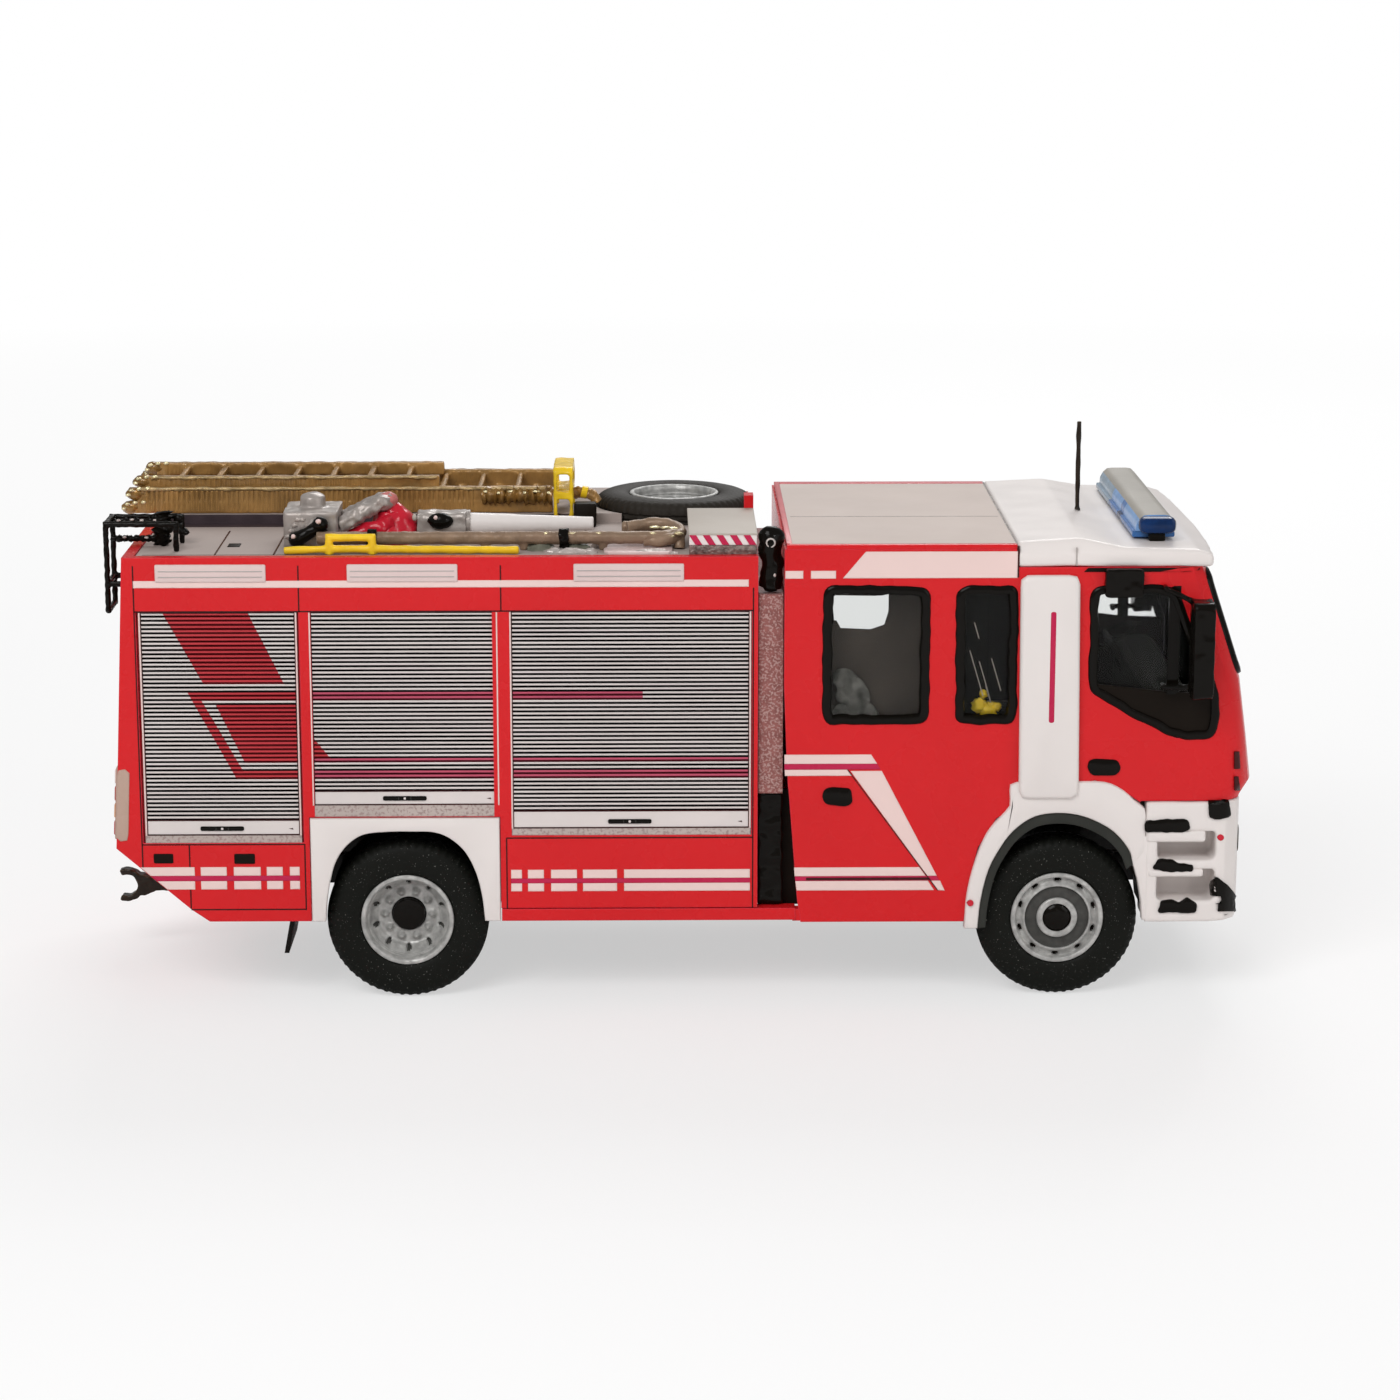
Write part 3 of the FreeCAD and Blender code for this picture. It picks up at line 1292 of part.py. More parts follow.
def build_hook_ladder():
    y = -hook_rail_side
    z = deck_top + hook_rail_height
    x0, x1 = deck_x(hook_start_share), locker_x0 - hook_locker_gap - hook_curl - hook_rail_radius
    route = [vec(x0, y, z), vec(x1, y, z)]
    for index in range(1, hook_steps + 1):
        angle = math.pi * index / hook_steps
        route.append(vec(x1 + hook_curl * math.sin(angle), y + hook_curl * (1 - math.cos(angle)), z))
    route.append(vec(x1 - hook_curl, y + 2 * hook_curl, z))
    pieces = [bent_bar(route, hook_rail_radius)]
    for share in hook_rung_shares:
        x = x0 + share * (x1 - x0)
        pieces.append(bent_bar([vec(x, y, deck_top), vec(x, y, z)], hook_rung_radius))
    tip = vec(x1 + hook_curl, y + hook_curl, 0)
    pieces.append(bent_bar([tip + vec(0, 0, deck_top), tip + vec(0, 0, z)], hook_rung_radius))
    ladder_shape = fused(pieces)
    clamps = []
    for share in clamp_shares:
        x = x0 + share * (x1 - x0)
        reach = hook_rail_radius + clamp_post / 2
        collar = bent_bar([vec(x - clamp_width / 2, y, z), vec(x + clamp_width / 2, y, z)], reach)
        post = block(x - clamp_width / 2, x + clamp_width / 2, y - clamp_post / 2, y + clamp_post / 2,
                     deck_top, z)
        clamps.append(collar.fuse(post).cut(ladder_shape))
    add("hook_ladder", ladder_shape)
    add("ladder_clamps", Part.makeCompound(clamps))
    # Yellow bar along the roof edge with its open handle
    y = -yellow_side
    z = deck_top + yellow_height
    low = deck_top + yellow_wire
    grip0, grip1 = deck_x(handle_start_share), deck_x(handle_end_share)
    bar = bent_bar([vec(deck_x(yellow_start_share), y, low), vec(grip0, y, z), vec(grip1, y, z),
                    vec(deck_x(yellow_end_share), y, low)], yellow_wire)
    handle = bent_bar([vec(grip0, y, deck_top), vec(grip0, y, z + handle_rise),
                       vec(grip1, y, z + handle_rise),
                       vec(grip1, y, deck_top)], yellow_wire)
    add("yellow_bar", fused([bar, handle]))


def build_monitor():
    y = -monitor_side
    x = deck_x(monitor_share)
    top = deck_top + monitor_height
    base = rounded_block(x - monitor_length / 2, x + monitor_length / 2, y - monitor_width / 2, y
                         + monitor_width / 2,
                         deck_top, top, monitor_round, along_z)
    knob = Part.makeCylinder(monitor_knob_radius, monitor_knob_height, vec(x, y, top))
    knob = knob.fuse(Part.makeCone(monitor_knob_radius, monitor_knob_radius / 2,
                                   monitor_knob_height / 3,
                                   vec(x, y, top + monitor_knob_height)))
    add("monitor_base", base.fuse(knob))
    edge = x + monitor_length / 2
    elbow_x = deck_x(elbow_share)
    elbow_z = deck_top + pipe_rise
    pipes = []
    for sign in (-1, 1):
        start = vec(edge, y + sign * pipe_spread, deck_top + pipe_start)
        end = vec(elbow_x, y + sign * pipe_spread / 2, elbow_z)
        pipes.append(bent_bar([start, end, vec(elbow_x + pipe_radius, y, elbow_z)], pipe_radius))
    add("monitor_pipes", fused(pipes).cut(base))
    body = Part.makeCone(cone_radius, cone_radius / 2, elbow_z - pipe_radius - deck_top - seat_gap,
                         vec(elbow_x + pipe_radius, y, deck_top))
    red = body.cut(fused(pipes))
    add("monitor_neck", red)
    vx0 = elbow_x + pipe_radius + cone_radius + seat_gap
    valve = rounded_block(vx0, vx0 + valve_length, y - valve_width / 2, y + valve_width / 2, deck_top
                          + valve_lift - seat_gap,
                          deck_top + valve_lift + valve_height, monitor_round, along_x)
    feet = block(vx0 + valve_width / 2, vx0 + valve_length - valve_width / 2, y - valve_width / 4, y
                 + valve_width / 4,
                 deck_top, deck_top + valve_lift)
    add("monitor_valve", valve.fuse(feet))
    bx = vx0 + valve_length
    bz = deck_top + valve_lift + valve_height / 2
    barrel = Part.makeCone(barrel_start_radius, barrel_end_radius, barrel_length, vec(bx, y, bz),
                           along_x)
    add("monitor_barrel", barrel)


def build_roof_locker():
    x0, x1 = locker_x0, locker_x1
    y0 = locker_near
    box = block(x0, x1, y0, y0 + locker_depth, deck_top, deck_top + locker_height - locker_lid)
    lid = block(x0 - locker_lid_lip, x1 + locker_lid_lip, y0 - locker_lid_lip, y0 + locker_depth
                + locker_lid_lip,
                deck_top + locker_height - locker_lid, deck_top + locker_height)
    add("roof_locker", box.fuse(lid))


def build_access_rails():
    """Handrails that curve over the rear edge and are held to the rear face above the shutter."""
    out_x = deck_rear_x - access_rail_out
    in_x = deck_rear_x + access_rail_in
    top = deck_top + access_rail_rise
    low = top - access_rail_drop
    stub = deck_top - access_rail_stub
    middle = access_rail_inset - side
    y0, y1 = middle - access_rail_width / 2, middle + access_rail_width / 2
    rails = []
    for y in (y0, y1):
        rails.append(bent_bar([vec(in_x, y, deck_top), vec(in_x, y, top), vec(out_x, y, top),
                               vec(out_x, y, low)],
                              access_rail_radius))
        rails.append(bent_bar([vec(out_x, y, stub), vec(rear_face_x(stub), y, stub)],
                              access_rail_radius))
    for z in (top, low, stub):
        rails.append(bent_bar([vec(out_x, y0, z), vec(out_x, y1, z)], access_rail_radius))
    add("access_rails", fused(rails))


build_running_gear()
build_chassis()
build_body_shell()
build_shutters()
build_body_trim()
build_under_body()
build_cab_shell()
build_glass()
build_cab_panels()
build_front()
build_roofs()
build_mirrors()
build_interior()
build_gap()
build_ladders()
build_spare()
build_hook_ladder()
build_monitor()
build_roof_locker()
build_access_rails()

os.makedirs("parts", exist_ok=True)
for name, shape in parts.items():
    solids = shape.Solids
    whole = solids[0] if len(solids) == 1 else Part.makeCompound(solids)
    whole.exportStep("parts/" + name + ".step")
    print(name, len(solids), round(whole.Volume, 2), whole.isValid())
print(len(parts), "nodes")
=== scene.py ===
import bpy
import bmesh
import json
import math
from mathutils import Euler, Matrix, Vector, noise
from mathutils.bvhtree import BVHTree


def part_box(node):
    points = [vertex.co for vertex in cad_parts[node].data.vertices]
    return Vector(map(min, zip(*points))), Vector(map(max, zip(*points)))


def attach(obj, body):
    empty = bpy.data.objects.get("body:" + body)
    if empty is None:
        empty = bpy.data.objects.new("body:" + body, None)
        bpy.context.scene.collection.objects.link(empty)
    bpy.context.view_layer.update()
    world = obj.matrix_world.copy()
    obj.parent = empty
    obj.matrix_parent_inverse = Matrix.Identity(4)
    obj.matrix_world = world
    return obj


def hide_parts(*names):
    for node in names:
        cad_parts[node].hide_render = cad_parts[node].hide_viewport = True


# Looks of the 1:87 fire engine. Lengths in this script are millimetres unless a name says metres;
# MM turns them into Blender's metres. X is forward, Y left, Z up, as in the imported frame.

MM = 0.001
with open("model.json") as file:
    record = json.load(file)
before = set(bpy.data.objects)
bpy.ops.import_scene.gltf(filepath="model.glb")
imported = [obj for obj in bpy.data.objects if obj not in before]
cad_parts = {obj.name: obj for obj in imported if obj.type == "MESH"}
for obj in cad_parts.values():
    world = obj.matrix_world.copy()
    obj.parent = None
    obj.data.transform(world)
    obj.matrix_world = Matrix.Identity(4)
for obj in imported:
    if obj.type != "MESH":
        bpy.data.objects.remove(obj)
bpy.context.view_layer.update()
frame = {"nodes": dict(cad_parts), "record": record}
slots = {entry["node"]: entry["material_slot"] for entry in frame["record"]["subparts"]}
SIDES = (-1, 1)
SIDE_NAMES = {-1: "right", 1: "left"}
TURN = 2 * math.pi


def node_box(name):
    low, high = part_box(name)
    return low / MM, high / MM


def add_object(name, data):
    made = bpy.data.objects.new(name, data)
    bpy.context.scene.collection.objects.link(made)
    return made


# Camera, found from the photograph: place, tilt and focal length

camera_place = Vector((-1.3836, -269.54, 80.855))
camera_pitch = 12.7985
camera_yaw = 0.7753
camera_turn = Euler((math.radians(90 - camera_pitch), 0, math.radians(-camera_yaw)))
focal_pixels = 3589.3
photo_pixels = 1400.0
clip_near = 10
clip_far_metres = 10.0


def make_camera():
    data = bpy.data.cameras.new("camera")
    data.lens = data.sensor_width * focal_pixels / photo_pixels
    data.clip_start = clip_near * MM
    data.clip_end = clip_far_metres
    camera = add_object("camera", data)
    camera.location = camera_place * MM
    camera.rotation_euler = camera_turn
    bpy.context.scene.camera = camera


# Light and floor. Each lamp has a place, a width and its watts

middle = Vector((0, 0, 18))
world_strength = 0.36
lamps = {
    "key": ((-150, -330, 330), 260, 1.08),
    "fill": ((340, -280, 170), 300, 0.34),
    "rim": ((60, 330, 300), 260, 0.8),
    "spark_left": ((-190, -240, 260), 9, 0.035),
    "spark_right": ((210, -230, 230), 9, 0.03),
    "spark_back": ((120, 260, 240), 9, 0.03),
}
floor_half = 4000
floor_glow = 0.55
glow_starts = 130
glow_ends = 420
floor_tone = (0.92, 0.92, 0.92, 1)
full_white = (1, 1, 1, 1)


def feed(tree, node, **values):
    """Sets inputs by name, with _ for a space, or by number after an n; another node's output is linked."""
    for name, value in values.items():
        socket = node.inputs[int(name[1:]) if name[1:].isdigit() else name.replace("_", " ")]
        if isinstance(value, bpy.types.NodeSocket):
            tree.links.new(value, socket)
        else:
            socket.default_value = value
    return node


def add_node(tree, kind, operation=None, **values):
    node = tree.nodes.new("ShaderNode" + kind)
    if operation:
        node.operation = operation
    return feed(tree, node, **values)


def seen_directly(tree):
    """1 for rays that come from the camera, straight or through glass."""
    path = add_node(tree, "LightPath").outputs
    straight, through = path["Is Camera Ray"], path["Is Transmission Ray"]
    return add_node(tree, "Math", "MAXIMUM", n0=straight, n1=through).outputs[0]


def make_light():
    for name, (place, size, watts) in lamps.items():
        data = bpy.data.lights.new(name, "AREA")
        data.shape = "DISK"
        data.size = size * MM
        data.energy = watts
        light = add_object(name, data)
        light.location = Vector(place) * MM
        light.rotation_euler = (middle - Vector(place)).to_track_quat("-Z", "Y").to_euler()
    world = bpy.data.worlds.new("studio")
    bpy.context.scene.world = world
    world.use_nodes = True
    tree = world.node_tree
    soft = feed(tree, tree.nodes["Background"], Color=full_white, Strength=world_strength)
    bright = add_node(tree, "Background", Color=full_white, Strength=1.0)
    mix = add_node(tree, "MixShader", n0=seen_directly(tree), n1=soft.outputs[0], n2=bright.outputs[0])
    feed(tree, tree.nodes["World Output"], Surface=mix.outputs[0])


materials = {}


def start_material(name):
    material = bpy.data.materials.new(name)
    material.use_nodes = True
    materials[name] = material
    return material.node_tree, material.node_tree.nodes["Principled BSDF"]


def make_floor():
    """A pale floor that keeps the shadow near the model and turns white away from it."""
    mesh = bpy.data.meshes.new("floor")
    h = floor_half * MM
    mesh.from_pydata([(-h, -h, 0), (h, -h, 0), (h, h, 0), (-h, h, 0)], [], [(0, 1, 2, 3)])
    floor = add_object("floor", mesh)
    tree, pale = start_material("pale_floor")
    feed(tree, pale, Base_Color=floor_tone, Roughness=0.8)
    glow = add_node(tree, "Emission", Color=full_white, Strength=1.0)
    length = add_node(tree, "VectorMath", "LENGTH", n0=add_node(tree, "NewGeometry").outputs["Position"])
    reach = add_node(tree, "MapRange", From_Min=glow_starts * MM, From_Max=glow_ends * MM, To_Min=floor_glow,
                     Value=length.outputs["Value"])
    share = add_node(tree, "Math", "MULTIPLY", n0=seen_directly(tree), n1=reach.outputs["Result"])
    mix = add_node(tree, "MixShader", n0=share.outputs[0], n1=pale.outputs[0], n2=glow.outputs[0])
    feed(tree, tree.nodes["Material Output"], Surface=mix.outputs[0])
    mesh.materials.append(materials["pale_floor"])


# Materials

paint_edge = 0.12
coat_roughness = 0.08
gloss_wave = 2.5
glass_roughness = 0.03
glass_index = 1.18
haze_wave = 1.6
glass_wave = 2.4
glass_relief = 0.012


def noise_value(tree, size, detail=3.0, stretch=(1, 1, 1)):
    """Noise whose waves are about size millimetres long, or longer where stretch is under 1."""
    place = add_node(tree, "Mapping", Vector=add_node(tree, "TexCoord").outputs["Object"],
                     Scale=[share / (size * MM) for share in stretch])
    return add_node(tree, "TexNoise", Scale=1.0, Detail=detail, Vector=place.outputs[0]).outputs["Fac"]


def shade(colour, factor):
    return tuple(min(1.0, c * factor) for c in colour)


def mix_colour(tree, share, first, second):
    """first where share is 0 and the fixed colour second where it is 1."""
    node = add_node(tree, "Mix")
    node.data_type = "RGBA"
    return feed(tree, node, Factor=share, n6=first, n7=(*second, 1)).outputs[2]


def edge_share(tree, bevel):
    """1 on rounded edges, 0 on flat ground: how far the bevelled normal leans from the true one."""
    flat = add_node(tree, "NewGeometry").outputs["True Normal"]
    dot = add_node(tree, "VectorMath", "DOT_PRODUCT", n0=bevel, n1=flat).outputs["Value"]
    return add_node(tree, "MapRange", From_Min=0.98, From_Max=0.75, Value=dot).outputs["Result"]


def painted(name, colour, gloss=(0.2, 0.35), coat=0.4, grain=1.2, depth=0.02, metallic=0.0, contrast=0.08,
            patch=9.0, edge_wear_and_painted_light=None, stretch=(1, 1, 1), specks=None, shine=0.14):
    """Hand-applied paint: slow change of tone, uneven gloss, soft edges, a second colour on rounded edges for
    wear, painted highlight and painted shade, and specks of colour.
    """
    tree, principled = start_material(name)
    tone = add_node(tree, "ValToRGB", Fac=noise_value(tree, patch, 4.0))
    for element, place, factor in zip(tone.color_ramp.elements, (0.3, 0.7), (1 - contrast, 1 + contrast)):
        element.position = place
        element.color = (*shade(colour, factor), 1)
    colour_out = tone.outputs["Color"]
    bevel = add_node(tree, "Bevel", Radius=paint_edge * MM).outputs[0]
    # The second colour on rounded edges: wear, painted highlight and painted shade, as noted at each finish
    if edge_wear_and_painted_light:
        colour_out = mix_colour(tree, edge_share(tree, bevel), colour_out, edge_wear_and_painted_light)
    if specks:
        speck_size, speck_colour, low, high = specks
        fine = noise_value(tree, speck_size, 2.0)
        share = add_node(tree, "MapRange", From_Min=low, From_Max=high, Value=fine)
        colour_out = mix_colour(tree, share.outputs["Result"], colour_out, speck_colour)
    rough = add_node(tree, "MapRange", To_Min=gloss[0], To_Max=gloss[1], Value=noise_value(tree, gloss_wave))
    relief = add_node(tree, "Bump", Strength=1.0, Distance=depth * MM, Normal=bevel,
                      Height=noise_value(tree, grain, 3.0, stretch))
    feed(tree, principled, Base_Color=colour_out, Metallic=metallic, Specular_IOR_Level=shine,
         Coat_Weight=coat, Coat_Roughness=coat_roughness, Roughness=rough.outputs["Result"],
         Normal=relief.outputs[0])


def clear_glass(name, tint, streaks=0.0):
    """Clear plastic; streaks adds a rubbed, hazy share that follows slanting noise."""
    tree, principled = start_material(name)
    haze = noise_value(tree, haze_wave, 4.0, (1.0, 1.0, 0.35))
    rough = add_node(tree, "MapRange", From_Min=0.45, From_Max=0.75, To_Min=glass_roughness,
                     To_Max=glass_roughness + streaks, Value=haze)
    relief = add_node(tree, "Bump", Strength=1.0, Distance=glass_relief * MM,
                      Height=noise_value(tree, glass_wave, 2.0))
    feed(tree, principled, Base_Color=(*tint, 1), IOR=glass_index, Transmission_Weight=1.0,
         Roughness=rough.outputs["Result"], Normal=relief.outputs[0])


white = (0.76, 0.705, 0.68)
slat_tone = (0.68, 0.62, 0.60)
bronze = (0.32, 0.175, 0.055)
yellow = (0.84, 0.56, 0.02)
grey = (0.36, 0.32, 0.295)
silky = (0.3, 0.45)
dull = (0.4, 0.55)
coarse = (0.5, 0.7)
glassy = (0.15, 0.3)

# The order is name, colour, gloss, coat, grain, depth, metallic, contrast, patch and edge colour; what the
# edge colour stands for, wear, painted highlight and painted shade, is noted at each finish

# Its lighter, pinker rounded edges are paint worn at the edges together with a painted highlight along them
painted("red_paint", (0.63, 0.012, 0.016), coat=0.12, grain=3.0, depth=0.002, contrast=0.03,
        edge_wear_and_painted_light=(0.72, 0.05, 0.09))
painted("white_paint", white, silky, 0.1, 3, contrast=0.02)
# White print and pale rails, and also painted glints on the monitor's nozzle and knob
painted("mark_white", (0.80, 0.605, 0.57), silky, 0.1, contrast=0.03, depth=0.004)
painted("magenta", (0.50, 0.016, 0.07), coat=0.1, contrast=0.05, depth=0.004)
painted("line_dark", (0.045, 0.006, 0.006), coat=0.1, contrast=0.2, depth=0.004)
painted("slat_light", slat_tone, dull, 0.0, 0.4, contrast=0.05)
painted("slat_red_light", (0.52, 0.045, 0.055), dull, 0.0)
painted("slat_crimson_light", (0.50, 0.085, 0.14), dull, 0.0)
painted("slat_dark", (0.003, 0.002, 0.002), (0.5, 0.6), 0.0)
painted("slat_red_dark", (0.12, 0.002, 0.005), (0.5, 0.6), 0.0)
painted("slat_crimson_dark", (0.09, 0.004, 0.012), (0.5, 0.6), 0.0)
painted("shutter_grey", slat_tone, (0.35, 0.5), 0.05)
painted("speckled", (0.46, 0.39, 0.36), coarse, 0.0, 0.25, specks=(0.22, (0.33, 0.25, 0.235), 0.5, 0.62))
painted("deck_grey", (0.385, 0.322, 0.295), coarse, 0.0, 0.3, contrast=0.05)
painted("crew_beige", (0.54, 0.455, 0.41), (0.45, 0.6), 0.0, 0.5, contrast=0.04)
painted("black_plastic", (0.004, 0.003, 0.002), (0.12, 0.3), 0.12, 0.8, 0.05, shine=0.06)
painted("matt_black", (0.009, 0.006, 0.004), (0.45, 0.6), 0.0, 0.5, shine=0.08)
painted("tyre_rubber", (0.0065, 0.007, 0.0055), (0.42, 0.62), 0.0, 0.28, 0.03, shine=0.1,
        specks=(0.1, (0.2, 0.2, 0.18), 0.7, 0.74))
painted("spare_rubber", (0.026, 0.022, 0.018), (0.5, 0.65), 0.0, 0.28, 0.04, shine=0.1)
painted("gap_pink", (0.26, 0.10, 0.09), dull, 0.1, 0.3, 0.1, contrast=0.2, patch=0.6,
        specks=(0.16, (0.42, 0.26, 0.24), 0.5, 0.6))
# Used only for the painted highlight lines along the ladders' top edges
painted("bronze_light", (0.40, 0.28, 0.13), (0.2, 0.4), 0.3, 0.3, 0.08, 0.3, 0.35, 0.8)
painted("bronze_gloss", (0.24, 0.125, 0.03), (0.12, 0.25), 0.6, 0.4, 0.1, 0.3, 0.35, 0.8)
painted("rim_silver", (0.42, 0.415, 0.40), silky, 0.1, 0.35, 0.04, 0.3, 0.28, 0.6)
painted("dish_grey", (0.055, 0.054, 0.05), (0.35, 0.5), 0.05, 0.4, contrast=0.2, patch=0.6)
painted("steel_pin", (0.4, 0.4, 0.4), metallic=1.0)
clear_glass("clear_window", (0.86, 0.87, 0.865), 0.06)
clear_glass("lens_clear", (0.95, 0.95, 0.93))
painted("seat_grey", (0.011, 0.0115, 0.009), (0.6, 0.8), 0.0, contrast=0.35, patch=2.5, shine=0.03)
painted("cabin_grey", (0.048, 0.038, 0.031), (0.6, 0.8), 0.0, contrast=0.25, patch=3)
painted("cabin_dark", (0.006, 0.006, 0.005), coarse, 0.0, contrast=0.3, shine=0.06)
painted("lamp_white", white, coat=0.1, contrast=0.03, stretch=(0.1, 1, 3), grain=0.3, depth=0.03)
painted("lamp_pink", (0.70, 0.55, 0.53), coat=0.1, contrast=0.03, grain=0.6)
painted("lamp_tail", (0.46, 0.32, 0.26), coat=0.1, contrast=0.05)
painted("lens_red", (0.42, 0.008, 0.01), (0.1, 0.2), 0.3, 0.3)
painted("lens_amber", (0.62, 0.2, 0.008), (0.1, 0.2), 0.3, 0.3)
painted("blue_lamp", (0.05, 0.16, 0.42), glassy, 0.2, depth=0.03, contrast=0.2, patch=1.2)
painted("cap_blue", (0.003, 0.022, 0.09), (0.15, 0.25), 0.15, depth=0.03, contrast=0.3, patch=0.7)
painted("blue_pale", (0.20, 0.38, 0.70), glassy, 0.2, patch=0.9, contrast=0.15)
painted("bar_clear", (0.27, 0.36, 0.45), glassy, 0.2, patch=1.4, contrast=0.14)
painted("bar_top", (0.36, 0.335, 0.295), silky, 0.1, contrast=0.06, patch=4)
# Its edge colour, a lighter copy of the bronze, is a painted highlight on the rounded edges
painted("ladder_bronze", bronze, (0.22, 0.42), 0.3, 0.22, 0.08, 0.25, 0.3, 2.2,
        shade(bronze, 1.9), (1, 1, 0.15))
# Used only for painted glints on the ladder tips, the lower ladder's end and the hook ladder
painted("gold", (0.85, 0.70, 0.42), (0.15, 0.35), grain=0.5, depth=0.1, metallic=0.6, contrast=0.3, patch=0.7)
# Its edge colour, a darker copy of the yellow, is painted shade on the rounded edges
painted("yellow_paint", yellow, coat=0.2, grain=0.8, depth=0.04, contrast=0.12, patch=1.6,
        edge_wear_and_painted_light=shade(yellow, 0.7))
# Its edge colour, a lighter copy of the grey, is a painted highlight on the rounded edges
painted("tool_grey", grey, silky, 0.2, 0.6, 0.06, 0.3, 0.18, 1.2, shade(grey, 1.7))
painted("monitor_red", (0.56, 0.012, 0.03), (0.12, 0.25), 0.35, depth=0.05)
painted("pink", (0.5, 0.15, 0.14), coat=0.2, contrast=0.12, patch=0.8)
# Foil lumps on the deck, and also painted glints on the air intake and the access rails
painted("foil", (0.55, 0.49, 0.46), coat=0.2, grain=0.7, depth=0.15, metallic=0.3)
painted("moss_grey", (0.15, 0.15, 0.115), (0.3, 0.5), 0.1, 0.4, 0.1, contrast=0.4, patch=0.8)
# Its pale brown edge colour is a painted highlight on the rounded edges of the dark hook
painted("hook_brown", (0.014, 0.008, 0.004), (0.25, 0.45), 0.2, 0.5, 0.06, 0.0, 0.4, 0.8, (0.16, 0.11, 0.05))
painted("deck_shadow", (0.05, 0.035, 0.04), (0.4, 0.6), 0.0, contrast=0.25, patch=2)
painted("lid_grey", (0.46, 0.41, 0.36), (0.4, 0.6), 0.0, contrast=0.05)
painted("rough_metal", (0.19, 0.15, 0.135), (0.3, 0.5), 0.1, 0.25, 0.2, 0.4, 0.6, 0.4)
painted("seat_light", (0.10, 0.095, 0.085), coarse, 0.0, 0.4, 0.1, contrast=0.6, patch=0.8)
painted("edge_red", (0.55, 0.10, 0.11), silky, 0.1, patch=2)
painted("liner_grey", (0.03, 0.031, 0.027), (0.45, 0.6), 0.0, contrast=0.15, patch=3)
# Its paler edge colour is a painted highlight on the rounded edges
painted("hook_ladder_brown", (0.25, 0.17, 0.115), (0.3, 0.5), 0.1, 0.25, 0.04, 0.15, 0.25, 2.0,
        (0.42, 0.33, 0.24))
painted("roof_line", (0.42, 0.38, 0.36), contrast=0.1)


# Meshes

class Pile:
    """Points and faces in millimetres, with a finish for each face, that become one piece."""

    def __init__(self):
        self.points = []
        self.faces = []
        self.finishes = []
        self.marks = []

    def add(self, shape, finish):
        """shape is points and faces; finish is one material's name, or a list with one for each face."""
        points, faces = shape
        start = len(self.points)
        self.points += [tuple(point) for point in points]
        self.faces += [[start + i for i in face] for face in faces]
        for name in [finish] * len(faces) if isinstance(finish, str) else finish:
            if name not in self.finishes:
                self.finishes.append(name)
            self.marks.append(self.finishes.index(name))

    def slab(self, finish, box, low, high, place):
        self.add(prism(box_outline(*box), low, high, place), finish)

    def pad(self, finish, outline, low, high, edge, place):
        self.add(pillow(outline, low, high, edge, place), finish)

    def cord(self, finish, corners, radii, sides, lumps=0.0, wave=0.8):
        self.add(tube(smooth_route(corners), radii, sides, lumps=lumps, wave=wave), finish)

    def drops(self, finish, spots, lumps=0.12, wave=0.5):
        """A blob for each spot: X, Y, Z and its half lengths."""
        for spot in spots:
            self.add(blob(spot[:3], spot[3:], lumps, wave), finish)

    def build(self, name, slot, body="truck", stands_for=(), merge=None, smooth=35):
        mesh = bpy.data.meshes.new(name)
        mesh.from_pydata([Vector(point) * MM for point in self.points], [], self.faces)
        for finish in self.finishes:
            mesh.materials.append(materials[finish])
        mesh.polygons.foreach_set("material_index", self.marks)
        work = bmesh.new()
        work.from_mesh(mesh)
        if merge:
            bmesh.ops.remove_doubles(work, verts=work.verts, dist=merge * MM)
        bmesh.ops.recalc_face_normals(work, faces=work.faces)
        work.to_mesh(mesh)
        work.free()
        finish_piece(name, mesh, slot, body, stands_for, smooth)


def finish_piece(name, mesh, slot, body="truck", stands_for=(), smooth=35):
    """Shades a mesh, puts it in the scene, hangs it on its body's empty and hides the CAD nodes that it
    stands for.
    """
    mesh.shade_smooth()
    mesh.set_sharp_from_angle(angle=math.radians(smooth))
    piece = add_object(name, mesh)
    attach(piece, body)
    if stands_for:
        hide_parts(*stands_for)


# Places: each takes (across, up, depth) and gives a point

def on_side(side):
    """Across is X, up is Z and depth is the distance from the middle plane."""
    return lambda u, v, depth: (u, side * depth, v)


def on_top(u, v, depth):
    return (u, v, depth)


def on_front(u, v, depth):
    """Across is Y, up is Z and depth is X."""
    return (depth, u, v)


# Outlines, as lists of (u, v)

def box_outline(u0, u1, v0, v1):
    return [(u0, v0), (u1, v0), (u1, v1), (u0, v1)]


def round_box(u0, u1, v0, v1, radius, steps=5):
    return round_corners(box_outline(u0, u1, v0, v1), radius, steps)


def inset(outline, distance):
    """Moves each corner inwards, along the middle of its two sides."""
    after = outline[1:] + outline[:1]
    turn = 1 if sum(a[0] * b[1] - b[0] * a[1] for a, b in zip(outline, after)) > 0 else -1
    moved = []
    for last, here, coming in zip(outline[-1:] + outline[:-1], outline, after):
        before = (Vector(here) - Vector(last)).normalized()
        ahead = (Vector(coming) - Vector(here)).normalized()
        normal = (Vector((-(before.y + ahead.y), before.x + ahead.x)) * turn).normalized()
        lean = max(0.35, normal.dot(Vector((-before.y, before.x)) * turn))
        moved.append(tuple(Vector(here) + normal * distance / lean))
    return moved


def round_corners(outline, radius, steps=5):
    """Replaces each corner by an arc that starts radius before it."""
    result = []
    for i, here in enumerate(outline):
        here = Vector(here)
        back = Vector(outline[i - 1]) - here
        ahead = Vector(outline[(i + 1) % len(outline)]) - here
        reach = min(radius, back.length * 0.48, ahead.length * 0.48)
        start = here + back.normalized() * reach
        end = here + ahead.normalized() * reach
        for s in range(steps + 1):
            t = s / steps
            result.append(tuple(start * (1 - t) ** 2 + here * 2 * t * (1 - t) + end * t * t))
    return result


